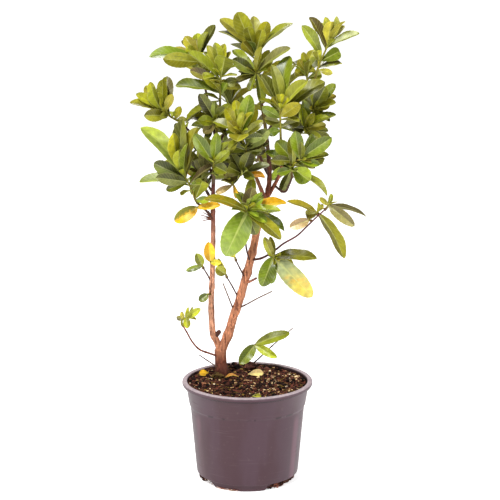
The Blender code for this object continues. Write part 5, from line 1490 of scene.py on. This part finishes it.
pot_section += [(POT_MOUTH_RADIUS - 0.0004, POT_COLLAR_TOP + 0.001),
                (collar_high - POT_WALL, POT_COLLAR_TOP - 0.0008),
                (collar_low - POT_WALL, ledge + 0.0022), (high - POT_WALL, ledge - 0.0004),
                (low - POT_WALL, POT_FLOOR + 0.0014), (low - POT_WALL - 0.0015, POT_FLOOR),
                (POT_WELL_RADIUS + 0.0004, POT_FLOOR), (POT_WELL_RADIUS, POT_WELL_FLOOR),
                (0.0, POT_WELL_FLOOR)]
print("points of the section:", len(pot_section))

# %% [markdown]
# The maker moulds the pot together with its drain holes and the notches that lead to them. Here its
# wall is turned first, and then wedges and rounded boxes are taken out of it by Boolean modifiers. A
# notch's ends slant, as on the real pot, where they let it slide off the mould.

# %% Turn the pot and cut its drains
# The ends of a notch slant, so that it is wider at the bottom, by this many degrees each way
NOTCH_LEAN = 6.0


def notch_shape(angle):
    """A wedge of a ring, swept round the foot."""
    shape = bmesh.new()
    turn = Matrix.Rotation(math.radians(angle - NOTCH_SPAN / 2.0), 3, "Z")
    corners = ((NOTCH_INNER_RADIUS, -0.002), (POT_FOOT_RADIUS + 0.002, -0.002),
               (POT_FOOT_RADIUS + 0.002, NOTCH_HEIGHT), (NOTCH_INNER_RADIUS, NOTCH_HEIGHT))
    section = shape.faces.new([shape.verts.new(turn @ Vector((radius, 0.0, height)))
                               for radius, height in corners])
    bmesh.ops.spin(shape, geom=[section], cent=(0.0, 0.0, 0.0), axis=UPRIGHT,
                   angle=math.radians(NOTCH_SPAN), steps=16)
    for corner in shape.verts:
        swing = (Matrix.Rotation(math.radians(-angle), 3, "Z") @ corner.co).yx
        share = math.degrees(math.atan2(*swing)) / (0.5 * NOTCH_SPAN)
        lean = NOTCH_LEAN * share * (1.0 - 2.0 * max(corner.co.z, 0.0) / NOTCH_HEIGHT)
        corner.co = Matrix.Rotation(math.radians(lean), 3, "Z") @ corner.co
    bmesh.ops.recalc_face_normals(shape, faces=shape.faces)
    return as_mesh("notch", shape)


def drain_shape(angle):
    """A box with rounded upright edges, through the floor of the pot."""
    shape = bmesh.new()
    turn = Matrix.Rotation(math.radians(angle), 4, "Z")
    shift = Matrix.Translation((DRAIN_RADIUS, 0.0, DRAIN_DEPTH))
    size = Matrix.Diagonal((*DRAIN_SIZE, DRAIN_DEPTH, 1.0))
    bmesh.ops.create_cube(shape, size=1.0, matrix=turn @ shift @ size)
    upright = [edge for edge in shape.edges if abs(edge.verts[0].co.z - edge.verts[1].co.z) > 0.001]
    bmesh.ops.bevel(shape, geom=upright, offset=0.002, segments=4, affect="EDGES", profile=0.5, material=-1)
    return as_mesh("drain", shape)


def cut_by(mesh, cutters):
    """The mesh with the cutters taken out of it."""
    thing = in_scene("uncut", mesh)
    helpers = [in_scene("cutter", cutter) for cutter in cutters]
    for helper in helpers:
        boolean = thing.modifiers.new("cut", "BOOLEAN")
        boolean.operation = "DIFFERENCE"
        boolean.solver = "EXACT"
        boolean.object = helper
    settled = thing.evaluated_get(bpy.context.evaluated_depsgraph_get())
    cut_mesh = bpy.data.meshes.new_from_object(settled)
    for helper in helpers + [thing]:
        bpy.data.objects.remove(helper)
    cut_mesh.materials.clear()
    return cut_mesh


pot_wall = as_mesh("pot_wall", turned(pot_section, 144))
cutters = [shape(angle) for angle in NOTCH_ANGLES for shape in (notch_shape, drain_shape)]
pot_cut = cut_by(pot_wall, cutters)
pot = add_piece("pot", joined([(pot_cut, 0)]), ["pot_plastic"])
print("pot faces:", len(pot.data.polygons))

# %% [markdown]
# The compost is a closed turned body. Its top is a fine net of rings that is lifted to the mound and
# roughened by noise at three scales. The roots inside it can't be seen, so they aren't made. It fills
# the pot to the floor and into the well below, a hair's breadth clear of the wall.

# %% Fill the pot with compost
SOIL_SLACK = 0.0006
SOIL_RINGS = 46
SOIL_STEPS = 128
SOIL_BOTTOM = 0.0021
SOIL_TINT = (0.020, 0.013, 0.008, 1.0)
edge_radius = pot_inner_radius(SOIL_EDGE_HEIGHT) - SOIL_SLACK


def crumbly(x, y):
    """The height of the compost, with lumps and crumbs."""
    place = Vector((x, y, 0.0))
    lumps = 0.0011 * noise.noise(place * 130.0) + 0.0010 * noise.noise(place * 330.0)
    return soil_height(x, y) + lumps + 0.0006 * noise.noise(place * 800.0) - 0.0003


well_fill = POT_WELL_RADIUS - 0.0009
soil_section = [(0.0, SOIL_BOTTOM), (well_fill, SOIL_BOTTOM), (well_fill, POT_FLOOR + 0.0003),
                (pot_inner_radius(POT_FOOT_HEIGHT) - 0.0022, POT_FLOOR + 0.0003),
                (pot_inner_radius(POT_FLOOR + 0.0016) - SOIL_SLACK, POT_FLOOR + 0.0021),
                (pot_inner_radius(ledge) - SOIL_SLACK - 0.0002, ledge - 0.0006),
                (pot_inner_radius(ledge + 0.0022) - SOIL_SLACK, ledge + 0.0032)]
soil_section += [(edge_radius * (1.0 - ring / SOIL_RINGS), SOIL_EDGE_HEIGHT) for ring in range(SOIL_RINGS)]
soil_section += [(0.0, SOIL_EDGE_HEIGHT)]
soil_shape = turned(soil_section, SOIL_STEPS)
soil_tint = soil_shape.verts.layers.float_color.new("tint")
for vert in soil_shape.verts:
    if vert.co.z > SOIL_EDGE_HEIGHT - 0.0001:
        vert.co.z = crumbly(vert.co.x, vert.co.y)
    vert[soil_tint] = SOIL_TINT
soil_mesh = as_mesh("compost", soil_shape)
print("compost faces:", len(soil_mesh.polygons))

# %% [markdown]
# A few dead leaves lie on the compost, as in most pots. A physics run could drop them, but not just
# where the picture shows them. So each leaf is held over its place and lowered by a tenth of a
# millimetre at a time, until its coarse blade meets something.

# %% Lay the fallen leaves
DROP_HEIGHT = 0.012
DROP_STEP = 0.0001
# A fallen leaf with more arch than this is curled up, so it is folded more
CURLED_ARCH = 0.15


def settled_ends(fallen):
    """The root, tip and upper side of a fallen leaf, lowered until it lies just clear of the soil."""
    upper = Matrix.Rotation(math.radians(fallen.tilt), 3, "X") @ UPRIGHT
    heading = Matrix.Rotation(math.radians(fallen.heading), 3, "Z") @ Vector((1.0, 0.0, 0.0))
    middle = Vector((fallen.across * MM, fallen.back * MM, 0.0))
    ends = [middle + heading * (half * fallen.length * MM / 2.0) for half in (-1.0, 1.0)]
    for end in ends:
        end.z = soil_height(end.x, end.y) + DROP_HEIGHT
    while True:
        lower = [end - UPRIGHT * DROP_STEP for end in ends]
        trial = coarse_blade(*lower, upper, fallen.width * MM, fallen.arch, LEAF_CLEARANCE)
        if crowd.touches(fallen.name, trial):
            return *ends, upper
        ends = lower


for fallen in FALLEN:
    rng = random.Random(fallen.name)
    leaf = Leaf(*settled_ends(fallen), fallen.width * MM, fallen.tone)
    form = leaf_form(rng, 0.5)
    form.update(arch=fallen.arch, fold=0.5 if fallen.arch > CURLED_ARCH else 0.12, curl=0.0)
    # Painted light: fallen leaves are painted brighter, by a gain of 1.15, to make up for the plant's shade
    # on them.
    mesh = leaf_mesh(fine_blank, leaf, form, leaf_colours(leaf, rng, 1.15))
    add_piece(fallen.name, joined([(mesh, 0)]), [fallen.slot])
print("fallen leaves:", len(FALLEN))

# %% [markdown]
# What makes the soil read as compost is its litter: about two thousand crumbs and flecks of bark. A
# particle system could scatter them, but a plain loop can also heap them up, thin them out and push
# them into the drain holes. Each is a ball of twenty faces, stretched, turned and tinted.

# %% Scatter crumbs and flecks
# A kind of crumb has its number, radii, flatness, greatest stretch and tones
Crumbs = namedtuple("Crumbs", "count sizes flatness longest tones")
LITTER = (
    Crumbs(620, (0.0009, 0.0025), 0.75, 1.9, (
        (0.16, 0.10, 0.09), (0.32, 0.19, 0.15), (0.09, 0.06, 0.05))),
    Crumbs(420, (0.0008, 0.0019), 0.60, 1.9, (
        (0.42, 0.29, 0.20), (0.50, 0.39, 0.19), (0.38, 0.30, 0.14), (0.46, 0.26, 0.20))),
    Crumbs(340, (0.0006, 0.0014), 0.45, 2.4, (
        (0.88, 0.76, 0.56), (0.95, 0.86, 0.72), (0.80, 0.62, 0.44))),
    Crumbs(70, (0.0014, 0.0026), 0.35, 2.0, (
        (0.76, 0.60, 0.42), (0.92, 0.80, 0.60), (0.62, 0.42, 0.30))),
    Crumbs(36, (0.0007, 0.0010), 0.80, 6.0, (
        (0.84, 0.68, 0.50), (0.30, 0.18, 0.13), (0.60, 0.40, 0.26))),
)
# The pale kinds lie thinner on the left half, where this share of them is left out
PALE_LITTER = LITTER[2:4]
THINNED_SHARE = 0.45
MOUND = Crumbs(90, (0.0011, 0.0024), 0.75, 1.8, (
    (0.30, 0.24, 0.12), (0.18, 0.12, 0.09), (0.40, 0.32, 0.18)))
HEAP = Crumbs(90, (0.0018, 0.0036), 0.70, 1.8, (
    (0.20, 0.12, 0.11), (0.34, 0.20, 0.17), (0.12, 0.08, 0.07), (0.50, 0.32, 0.26)))
# Dark crumbs plug the notches: they are soil, and they also stand in for the shade inside the notches, as
# painted shade.
PLUG_AND_SHADE = Crumbs(230, (0.0012, 0.0026), 0.80, 1.6, (
    (0.16, 0.10, 0.09), (0.26, 0.16, 0.13), (0.36, 0.22, 0.18)))
# The left notch is only filled between these angles
LEFT_NOTCH_FILL = (175.0, 204.0)
LITTER_SEED = 5
pebble_shape = bmesh.new()
bmesh.ops.create_icosphere(pebble_shape, subdivisions=1, radius=1.0)
pebble_shape.verts.layers.float_color.new("tint")
pebble = as_mesh("pebble", pebble_shape)


def add_crumb(whole, kind, x, y, height, rng):
    """A pebble that is stretched and turned, with its middle at the given height or on the soil."""
    size = rng.uniform(*kind.sizes)
    if height is None:
        height = crumbly(x, y) + size * kind.flatness * 0.35
    stretch = Matrix.Diagonal((size * rng.uniform(1.0, kind.longest), size, size * kind.flatness, 1.0))
    turn = Matrix.Rotation(rng.uniform(0.0, 6.3), 4, "Z") @ Matrix.Rotation(rng.uniform(-0.5, 0.5), 4, "X")
    first = len(whole.verts)
    whole.from_mesh(pebble)
    whole.verts.ensure_lookup_table()
    tint = whole.verts.layers.float_color["tint"]
    colour = Vector(screen_tone(share) for share in rng.choice(kind.tones)) * rng.uniform(0.8, 1.2)
    for vert in whole.verts[first:]:
        vert.co = Vector((x, y, height)) + (turn @ stretch @ vert.co) * rng.uniform(0.85, 1.15)
        vert[tint] = (*colour, 1.0)


def litter_mesh(rng):
    """Crumbs all over the soil, a heap at the back, a mound by the trunk and plugs in the notches,
    whose dark crumbs also stand in for the shade there.
    """
    whole = bmesh.new()
    whole.verts.layers.float_color.new("tint")
    for kind in LITTER:
        for _ in range(kind.count):
            away = (edge_radius - 0.002) * math.sqrt(rng.random())
            around = rng.uniform(0.0, 2.0 * math.pi)
            if kind in PALE_LITTER and math.cos(around) < 0.0 and rng.random() < THINNED_SHARE:
                continue
            add_crumb(whole, kind, away * math.cos(around), away * math.sin(around), None, rng)
    for _ in range(HEAP.count):
        x, y = rng.gauss(-0.002, 0.013), rng.uniform(0.050, 0.073)
        add_crumb(whole, HEAP, x, y, soil_height(x, y) + rng.uniform(0.0, 0.0022), rng)
    foot = branch_curves["trunk"][0]
    for _ in range(MOUND.count):
        x, y = foot.x + rng.gauss(-0.006, 0.0045), foot.y - 0.0075 + rng.gauss(0.0, 0.002)
        add_crumb(whole, MOUND, x, y, soil_height(x, y) + rng.uniform(0.0, 0.0045), rng)
    # The notch plugs: dark soil crumbs that also act as painted shade inside the notches.
    for angle in NOTCH_ANGLES:
        for _ in range(PLUG_AND_SHADE.count):
            around = angle + rng.uniform(-0.5, 0.5) * (NOTCH_SPAN - 2.0)
            if angle == LEFT_NOTCH_ANGLE:
                around = rng.uniform(*LEFT_NOTCH_FILL)
            around = math.radians(around)
            away = rng.uniform(POT_FOOT_RADIUS - 0.008, POT_FOOT_RADIUS - 0.0004)
            height = rng.uniform(POT_WELL_FLOOR, NOTCH_HEIGHT - 0.0006)
            add_crumb(whole, PLUG_AND_SHADE, away * math.cos(around), away * math.sin(around), height, rng)
    return as_mesh("litter", whole)


rng = random.Random(LITTER_SEED)
crumbs = litter_mesh(rng)
print("faces of the litter:", len(crumbs.polygons))

# %% [markdown]
# A plant that has stood long in its pot pushes fine roots out of the drain holes. They are thin
# stems like all the others, so the function that bends stems serves again. Each root runs through a
# few stations, given as degrees round the pot, distance from its axis and height.

# %% Grow the roots in the drain notches
NOTCH_ROOTS = 26
TUFT_ROOTS = 22
FRINGE_ROOTS = 24
ROOT_TUFT_ANGLE = 308.0
ROOT_FRINGE_ANGLES = (229.0, 258.0)
ROOT_RADIUS = 0.0004
TUFT_ROOT_RADIUS = 0.0006


def root_strand(stations, tone, radius):
    """A fine root through stations, each with degrees round the pot, distance out and height."""
    points = []
    for turn, away, height in stations:
        around = math.radians(turn)
        points.append(Vector((away * math.cos(around), away * math.sin(around), height)))
    radius_at = taper(radius, radius * 0.6, 0.01)
    return stem_mesh(smooth_line(points, 0.0014), radius_at, 5, [paint(tone), paint(tone)])


def root_strands(rng):
    """Fine roots: a fringe in each notch, a tuft in one and some along the front of the foot."""
    strands = []
    for angle in NOTCH_ANGLES:
        for _ in range(NOTCH_ROOTS):
            turn = angle + rng.uniform(-0.46, 0.46) * NOTCH_SPAN
            stations = [(turn + rng.uniform(-2.5, 2.5), POT_FOOT_RADIUS - rng.uniform(0.0, 0.005), height)
                        for height in (POT_FLOOR - 0.002, 0.0055, 0.0038, rng.uniform(0.0012, 0.0030))]
            tone = rng.choice(("root", "blush", "dusk", "russet"))
            strands.append(root_strand(stations, tone, ROOT_RADIUS))
    for _ in range(TUFT_ROOTS):
        turn = ROOT_TUFT_ANGLE + rng.uniform(-4.5, 4.5)
        stations = [(turn, POT_FOOT_RADIUS - 0.001, NOTCH_HEIGHT),
                    (turn * 0.6 + ROOT_TUFT_ANGLE * 0.4, POT_FOOT_RADIUS + 0.0006, 0.0042),
                    (ROOT_TUFT_ANGLE + rng.uniform(-1.0, 1.0), POT_FOOT_RADIUS + 0.0012,
                     rng.uniform(0.0006, 0.002))]
        tone = rng.choice(("dusk", "sienna", "russet", "rose"))
        strands.append(root_strand(stations, tone, TUFT_ROOT_RADIUS))
    for _ in range(FRINGE_ROOTS):
        turn = rng.uniform(*ROOT_FRINGE_ANGLES)
        stations = [(turn + step * rng.uniform(0.8, 1.8), POT_FOOT_RADIUS + rng.uniform(0.0003, 0.0012),
                     rng.uniform(0.0005, 0.0024)) for step in range(4)]
        tone = rng.choice(("blush", "rose", "russet", "root"))
        strands.append(root_strand(stations, tone, ROOT_RADIUS))
    return strands


soil_parts = [(soil_mesh, 0), (crumbs, 1)] + [(strand, 2) for strand in root_strands(rng)]
soil = add_piece("soil", joined(soil_parts), ["soil", "litter", "roots"])
print("soil faces:", len(soil.data.polygons))

# %% [markdown]
# Every finish is a small sum of patterns. Nodes could be wired one by one, but then the sum is hard
# to read. So a socket is wrapped in a class whose operators add the Math nodes, and sums of patterns
# can be written as plain expressions.

# %% Let values add up
class Value:
    """A number that varies over a surface. Sums and products of it add Math nodes."""

    def __init__(self, finish, socket):
        self.finish = finish
        self.socket = socket

    def maths(self, operation, *terms):
        """The Math node for an operation on these terms."""
        inputs = dict(enumerate(terms))
        return self.finish.node("ShaderNodeMath", {"operation": operation}, inputs)

    def __add__(self, other):
        return self.maths("ADD", self, other)

    def __radd__(self, other):
        return self.maths("ADD", other, self)

    def __sub__(self, other):
        return self.maths("SUBTRACT", self, other)

    def __rsub__(self, other):
        return self.maths("SUBTRACT", other, self)

    def __mul__(self, other):
        return self.maths("MULTIPLY", self, other)

    def __rmul__(self, other):
        return self.maths("MULTIPLY", other, self)

    def __pow__(self, other):
        return self.maths("POWER", self, other)

    def __abs__(self):
        return self.maths("ABSOLUTE", self)

    def sine(self):
        return self.maths("SINE", self)

    def between(self, low, high):
        """0 below low, 1 above high, and smooth between them."""
        settings = {"interpolation_type": "SMOOTHSTEP"}
        inputs = {"Value": self, "From Min": low, "From Max": high}
        return self.finish.node("ShaderNodeMapRange", settings, inputs)


print("methods of a value:", sum(callable(method) for method in vars(Value).values()))

# %% [markdown]
# The skin of a real thing is one surface, and here it is one material on the standard shader. One
# method adds any node, and short ones over it give the patterns that come back in every finish:
# noise, a mix of two colours, the painted tint and a bump.

# %% Give a finish its tools
class Finish:
    """A material on the standard shader. node() adds any node and gives its output."""

    def __init__(self, name):
        self.material = bpy.data.materials.new(name)
        self.material.use_nodes = True
        self.tree = self.material.node_tree
        self.shader = self.tree.nodes["Principled BSDF"]

    def node(self, kind, settings, inputs, output=None):
        """Adds a node with its settings and inputs, and gives its named output or the first in use."""
        made = self.tree.nodes.new(kind)
        for name, value in settings.items():
            setattr(made, name, value)
        for name, value in inputs.items():
            self.feed(self.find(made.inputs, name), value)
        sockets = [socket for socket in made.outputs if socket.enabled]
        return Value(self, self.find(made.outputs, output) if output else sockets[0])

    @staticmethod
    def find(sockets, name):
        """A socket by its number, its identifier or its name."""
        if isinstance(name, int):
            return sockets[name]
        return next(socket for socket in sockets if name in (socket.identifier, socket.name))

    def feed(self, socket, value):
        """Links a value that varies to a socket, or sets a fixed one."""
        if isinstance(value, Value):
            self.tree.links.new(value.socket, socket)
        else:
            socket.default_value = value

    def set(self, **shader_inputs):
        """Sets or links the shader's own sockets; base_color is Base Color."""
        for name, value in shader_inputs.items():
            title = name.replace("_", " ").title().replace("Ior", "IOR")
            self.feed(self.shader.inputs[title], value)

    def noise(self, scale, detail, vector=None):
        """A cloudy pattern from 0 to 1, finer for a larger scale."""
        inputs = {"Scale": scale, "Detail": detail, "Roughness": 0.55, "Vector": vector or self.place()}
        return self.node("ShaderNodeTexNoise", {}, inputs, "Fac")

    def place(self):
        """Object coordinates, in metres."""
        return self.node("ShaderNodeTexCoord", {}, {}, "Object")

    def axis(self, vector, name):
        """One part of a vector: X, Y or Z."""
        return self.node("ShaderNodeSeparateXYZ", {}, {"Vector": vector}, name)

    def stretched(self, x, y, z):
        """Object coordinates, stretched so that a pattern gets finer along some axes."""
        return self.node("ShaderNodeMapping", {}, {"Vector": self.place(), "Scale": (x, y, z)})

    def tint(self, output="Color"):
        """What was painted on the vertices: the colour, or its alpha."""
        return self.node("ShaderNodeAttribute", {"attribute_name": "tint"}, {}, output)

    def mix(self, first, second, share):
        """A colour between two others."""
        inputs = {"A_Color": first, "B_Color": second, "Factor_Float": share}
        return self.node("ShaderNodeMix", {"data_type": "RGBA"}, inputs, "Result_Color")

    def shaded(self, colour, brightness):
        """A colour made brighter or darker by a number that varies."""
        inputs = {"Vector": colour, "Scale": brightness}
        return self.node("ShaderNodeVectorMath", {"operation": "SCALE"}, inputs)

    def bump(self, height, strength, distance):
        """Tilts the surface to look as rough as a pattern is high."""
        inputs = {"Height": height, "Strength": strength, "Distance": distance}
        self.set(normal=self.node("ShaderNodeBump", {}, inputs))


def colour(red, green, blue):
    """A colour read off a screen, in shares, as a socket takes it."""
    return (screen_tone(red), screen_tone(green), screen_tone(blue), 1.0)


print("mid grey on a screen, as a socket takes it:", round(colour(0.5, 0.5, 0.5)[0], 3))

# %% [markdown]
# A leaf is waxy and dark above and dull and pale below, with a pale rib and side veins. A photo of a
# leaf could be laid on it, but sums of patterns stay sharp from near and fit every tone. The veins
# are waves along the leaf, bent by noise, and the tint's alpha tells the two faces apart.

# %% Finish the leaves
def leaf_finish(name, gloss, vein_strength):
    """A leaf: pale rib and side veins, mottled green, glossy above and dull below."""
    finish = Finish(name)
    pattern = finish.node("ShaderNodeUVMap", {"uv_map": "leaf"}, {})
    across = finish.axis(pattern, "X")
    along = finish.axis(pattern, "Y")
    upper = finish.tint("Alpha")
    side = abs(across * 2.0 - 1.0)
    near_foot = (1.0 - along) ** 5.0
    rib = 1.0 - (side - near_foot * 0.35).between(0.015, 0.075)
    wobble = finish.noise(160.0, 1.0)
    phase = (along - side * 0.20 + wobble * 0.03) * 66.0
    vein = (phase.sine() * 0.5 + 0.5) ** 7.0 * (1.0 - side.between(0.75, 1.0))
    mottle = finish.noise(130.0, 4.0)
    grain = finish.noise(1400.0, 2.0)
    brightness = 0.27 + mottle * 1.15 + grain * 0.30
    base = finish.shaded(finish.tint(), brightness)
    pale = finish.mix(base, (0.60, 0.62, 0.20, 1.0), 0.6)
    base = finish.mix(base, pale, rib * (0.80 - upper * 0.15))
    base = finish.mix(base, pale, vein * vein_strength)
    base = finish.mix(base, pale, side.between(0.90, 0.97) * 0.40)
    finish.set(base_color=base, roughness=0.56 - upper * gloss + mottle * 0.12, specular_ior_level=0.28,
               coat_weight=upper * gloss * 1.3, coat_roughness=0.32)
    finish.bump(vein * -0.3 - rib * 0.8 + grain * 0.25 + mottle * 0.7, 0.30, 0.0006)
    return finish.material


materials = {
    "young_leaf": leaf_finish("young_leaf", 0.26, 0.22),
    "mature_leaf": leaf_finish("mature_leaf", 0.32, 0.18),
    "shaded_leaf": leaf_finish("shaded_leaf", 0.25, 0.15),
    "yellow_leaf": leaf_finish("yellow_leaf", 0.15, 0.12),
    "dry_leaf": leaf_finish("dry_leaf", 0.02, 0.35),
}
print("leaf finishes:", len(materials))

# %% [markdown]
# The bark of these stems is orange and peels in long pale flakes with dark cracks between. Noise
# that is stretched along the stems gives both at once. With other numbers the same finish serves the
# soft stems of the shoots and the fine roots.

# %% Finish the bark, stems and roots
def bark_finish(name, streaks, peel, depth):
    """Bark: the tint, with streaks along the stem, red cracks and pale flakes where it peels."""
    finish = Finish(name)
    streak = finish.noise(streaks, 4.0, finish.stretched(1.0, 1.0, 0.14))
    flake = finish.noise(300.0, 4.0, finish.stretched(1.0, 1.0, 0.40))
    grain = finish.noise(1500.0, 2.0)
    base = finish.shaded(finish.tint(), 0.60 + streak * 0.60 + grain * 0.20)
    lifted = flake.between(0.52, 0.60) * peel
    base = finish.mix(base, finish.shaded(base, 1.9), lifted)
    cracks = 1.0 - streak.between(0.38, 0.46)
    base = finish.mix(base, colour(0.34, 0.15, 0.11), cracks * 0.75)
    finish.set(base_color=base, roughness=0.50 + flake * 0.25, specular_ior_level=0.25)
    finish.bump(streak + lifted * 0.8 + grain * 0.2, 0.8, depth)
    return finish.material


materials["bark"] = bark_finish("bark", 380.0, 0.60, 0.0014)
materials["shoot_stem"] = bark_finish("shoot_stem", 700.0, 0.10, 0.0004)
materials["roots"] = bark_finish("roots", 900.0, 0.20, 0.0003)
print("finishes:", len(materials))

# %% [markdown]
# The pot is brown-purple plastic that has been outside: dusty, scratched and paler where it is
# touched. Each of these marks is a noise that is mixed in at its own place, found from the height
# and the distance from the axis. Light and shade are painted in the same way: the lip is worn and
# also has a painted highlight, its front a lighter painted band, the inside is stained and also
# painted in shade, pink painted reflections lie left and right of the front, and a painted shade
# line runs under the lip.

# %% Finish the pot
# How fast the collar widens with height, so that the wall's inner face lies between two radii
WALL_LEAN = 0.148
INNER_FACE = (0.0749, 0.0755)
# Heights in metres between which a mark on the wall sets in or fades out
STAIN_AND_SHADE_START = (0.104, 0.112)
STAIN_AND_SHADE_END = (0.1300, 0.1312)
LIP_TOP = (0.1305, 0.1312)
LIP_FRONT = (0.1284, 0.1300)
LIP_FRONT_END = (0.1306, 0.1314)
PINK_END = (0.085, 0.100)
DASHED_GROOVE = 0.1000
UNDER_LIP_SHADE_HEIGHT = 0.1256
# The cosine and sine of 60 degrees, for the pink painted reflections left and right of the front
PINK_X, PINK_Y = 0.5, 0.866

plastic = Finish("pot_plastic")
place = plastic.place()
x, y, z = [plastic.axis(place, name) for name in "XYZ"]
radius = (x * x + y * y) ** 0.5
clouds = plastic.noise(26.0, 3.0, plastic.stretched(1.0, 1.0, 0.22))
scuff = plastic.noise(80.0, 4.0, plastic.stretched(0.30, 0.30, 6.0))
scratches = scuff.between(0.60, 0.72)
dust = plastic.noise(240.0, 5.0)
body = plastic.mix(colour(0.290, 0.196, 0.222), colour(0.310, 0.224, 0.260), clouds.between(0.38, 0.62))
body = plastic.mix(body, colour(0.50, 0.44, 0.45), scratches * 0.13)
body = plastic.mix(body, colour(0.50, 0.43, 0.40), dust.between(0.60, 0.76) * 0.14)
wall = radius - (z - POT_COLLAR_HEIGHT) * WALL_LEAN
# The wall's inner face above the soil is painted dark: partly a soil stain, partly painted shade.
inside_stain_and_shade = (1.0 - wall.between(*INNER_FACE)) * z.between(*STAIN_AND_SHADE_START) * (1.0 - z.between(*STAIN_AND_SHADE_END))
body = plastic.mix(body, colour(0.15, 0.10, 0.09), inside_stain_and_shade * 0.85)
# The top of the lip is painted paler: partly wear and dust, partly a painted highlight.
crown = z.between(*LIP_TOP) * (0.35 + dust * 0.9)
# A painted highlight: a lighter band on the front of the lip's roll, mottled by dust.
lip_front_highlight = z.between(*LIP_FRONT) * (1.0 - z.between(*LIP_FRONT_END))
body = plastic.mix(body, colour(0.44, 0.37, 0.40), lip_front_highlight * (0.20 + dust * 0.5))
body = plastic.mix(body, colour(0.92, 0.85, 0.87), crown * 0.58)
# Pink streaks left and right of the front are painted reflections of the lamps on the wall.
pink_sheen = 1.0 - abs(abs(x) * PINK_X + y * PINK_Y).between(0.0016, 0.0100)
pink_sheen = pink_sheen * (1.0 - z.between(*PINK_END))
body = plastic.mix(body, colour(0.54, 0.36, 0.42), pink_sheen * clouds.between(0.30, 0.60) * 0.35)
dashes = plastic.noise(60.0, 3.0, plastic.stretched(1.0, 1.0, 0.05)).between(0.50, 0.58)
groove = (1.0 - abs(z - DASHED_GROOVE).between(0.0005, 0.0018)) * dashes
# A painted shade line runs under the lip, where its roll shades the wall.
under_lip_shade = 1.0 - abs(z - UNDER_LIP_SHADE_HEIGHT).between(0.0011, 0.0019)
body = plastic.mix(body, colour(0.13, 0.08, 0.10), groove * 0.75 + under_lip_shade * 0.80)
plastic.set(base_color=body, roughness=0.36 + clouds * 0.12 + scratches * 0.20, specular_ior_level=0.25)
plastic.bump(scuff * 0.5 + dust * 0.3 + clouds, 0.14, 0.0006)
materials["pot_plastic"] = plastic.material
print("nodes in the pot's finish:", len(plastic.tree.nodes))

# %% [markdown]
# Compost is dark with reddish lumps and pale flecks, and never shines. The litter on it takes its
# colour from the tint, with a little grit.

# %% Finish the soil
compost = Finish("soil")
lump = compost.noise(420.0, 5.0)
fleck = compost.noise(1000.0, 3.0)
earth = compost.mix(colour(0.08, 0.05, 0.05), colour(0.50, 0.28, 0.22), lump.between(0.42, 0.68))
earth = compost.mix(earth, colour(0.66, 0.52, 0.34), fleck.between(0.60, 0.70) * 0.6)
compost.set(base_color=earth, roughness=0.95, specular_ior_level=0.10)
compost.bump(lump + fleck * 0.5, 1.0, 0.0016)
materials["soil"] = compost.material

litter = Finish("litter")
grit = litter.noise(1300.0, 3.0)
speckled = litter.shaded(litter.tint(), 0.6 + grit * 0.8)
litter.set(base_color=speckled, roughness=0.9, specular_ior_level=0.10)
litter.bump(grit, 0.5, 0.0004)
materials["litter"] = litter.material
print("finishes:", sorted(materials))

# %% [markdown]
# A piece may need up to three finishes, as the soil does. Its faces already hold the number of their
# finish, so the materials only have to be added in that order.

# %% Give each piece its finishes
for name, slots in finishes.items():
    for slot in slots:
        bpy.data.objects[name + "_detail"].data.materials.append(materials[slot])
print("pieces with a finish:", len(finishes))

# %% [markdown]
# The plant stands on a plain white floor that reaches past the top of the picture, with a broad soft
# light from the front left, weaker ones from the right and from behind, and dim white light all
# round. The floor glows a little, as a light table does, and more so far behind the plant, where
# little light reaches it, so that it stays white up to the horizon.

# %% Build the studio
floor_shape = bmesh.new()
bmesh.ops.create_grid(floor_shape, x_segments=8, y_segments=8, size=30.0)
floor = in_scene("studio_floor", as_mesh("studio_floor", floor_shape))
paper = Finish("white_paper")
spot = paper.place()
east = paper.axis(spot, "X")
north = paper.axis(spot, "Y")
faraway = ((east * east + north * north) ** 0.5).between(0.8, 3.0)
glow = paper.mix((0.75, 0.75, 0.75, 1.0), (1.0, 1.0, 1.0, 1.0), faraway)
paper.set(base_color=(0.93, 0.93, 0.93, 1.0), roughness=0.9, specular_ior_level=0.2,
          emission_color=glow, emission_strength=0.88)
floor.data.materials.append(paper.material)
floor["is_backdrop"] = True
LIGHT_TARGET = Vector((0.0, 0.0, 0.33))


def add_area_light(name, location, size, power):
    """A square lamp that points at the middle of the plant."""
    lamp = bpy.data.lights.new(name, "AREA")
    lamp.size = size
    lamp.energy = power
    light = in_scene(name, lamp)
    light.location = location
    light.rotation_euler = (LIGHT_TARGET - light.location).to_track_quat("-Z", "Y").to_euler()


add_area_light("key_light", (-0.8, -1.5, 2.2), 0.5, 56.0)
add_area_light("right_light", (1.7, -0.6, 1.3), 0.6, 14.0)
add_area_light("back_light", (-0.3, 1.5, 2.1), 0.7, 24.0)
world = bpy.data.worlds.new("studio_air")
world.use_nodes = True
air = world.node_tree.nodes["Background"]
air.inputs["Color"].default_value = (1.0, 1.0, 1.0, 1.0)
air.inputs["Strength"].default_value = 0.24
bpy.context.scene.world = world
bpy.context.scene.view_settings.view_transform = "Standard"
print("lights: 3")

# %% [markdown]
# The dressed plant has to be as large as its solids, because whoever uses it goes by their box. So the
# two boxes are compared side by side.

# %% Compare the size with the solids
low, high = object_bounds()
growth = [round((high[axis] - low[axis]) / (cad_high[axis] - cad_low[axis]), 3) for axis in range(3)]
print("visual size as a share of the solids:", growth)
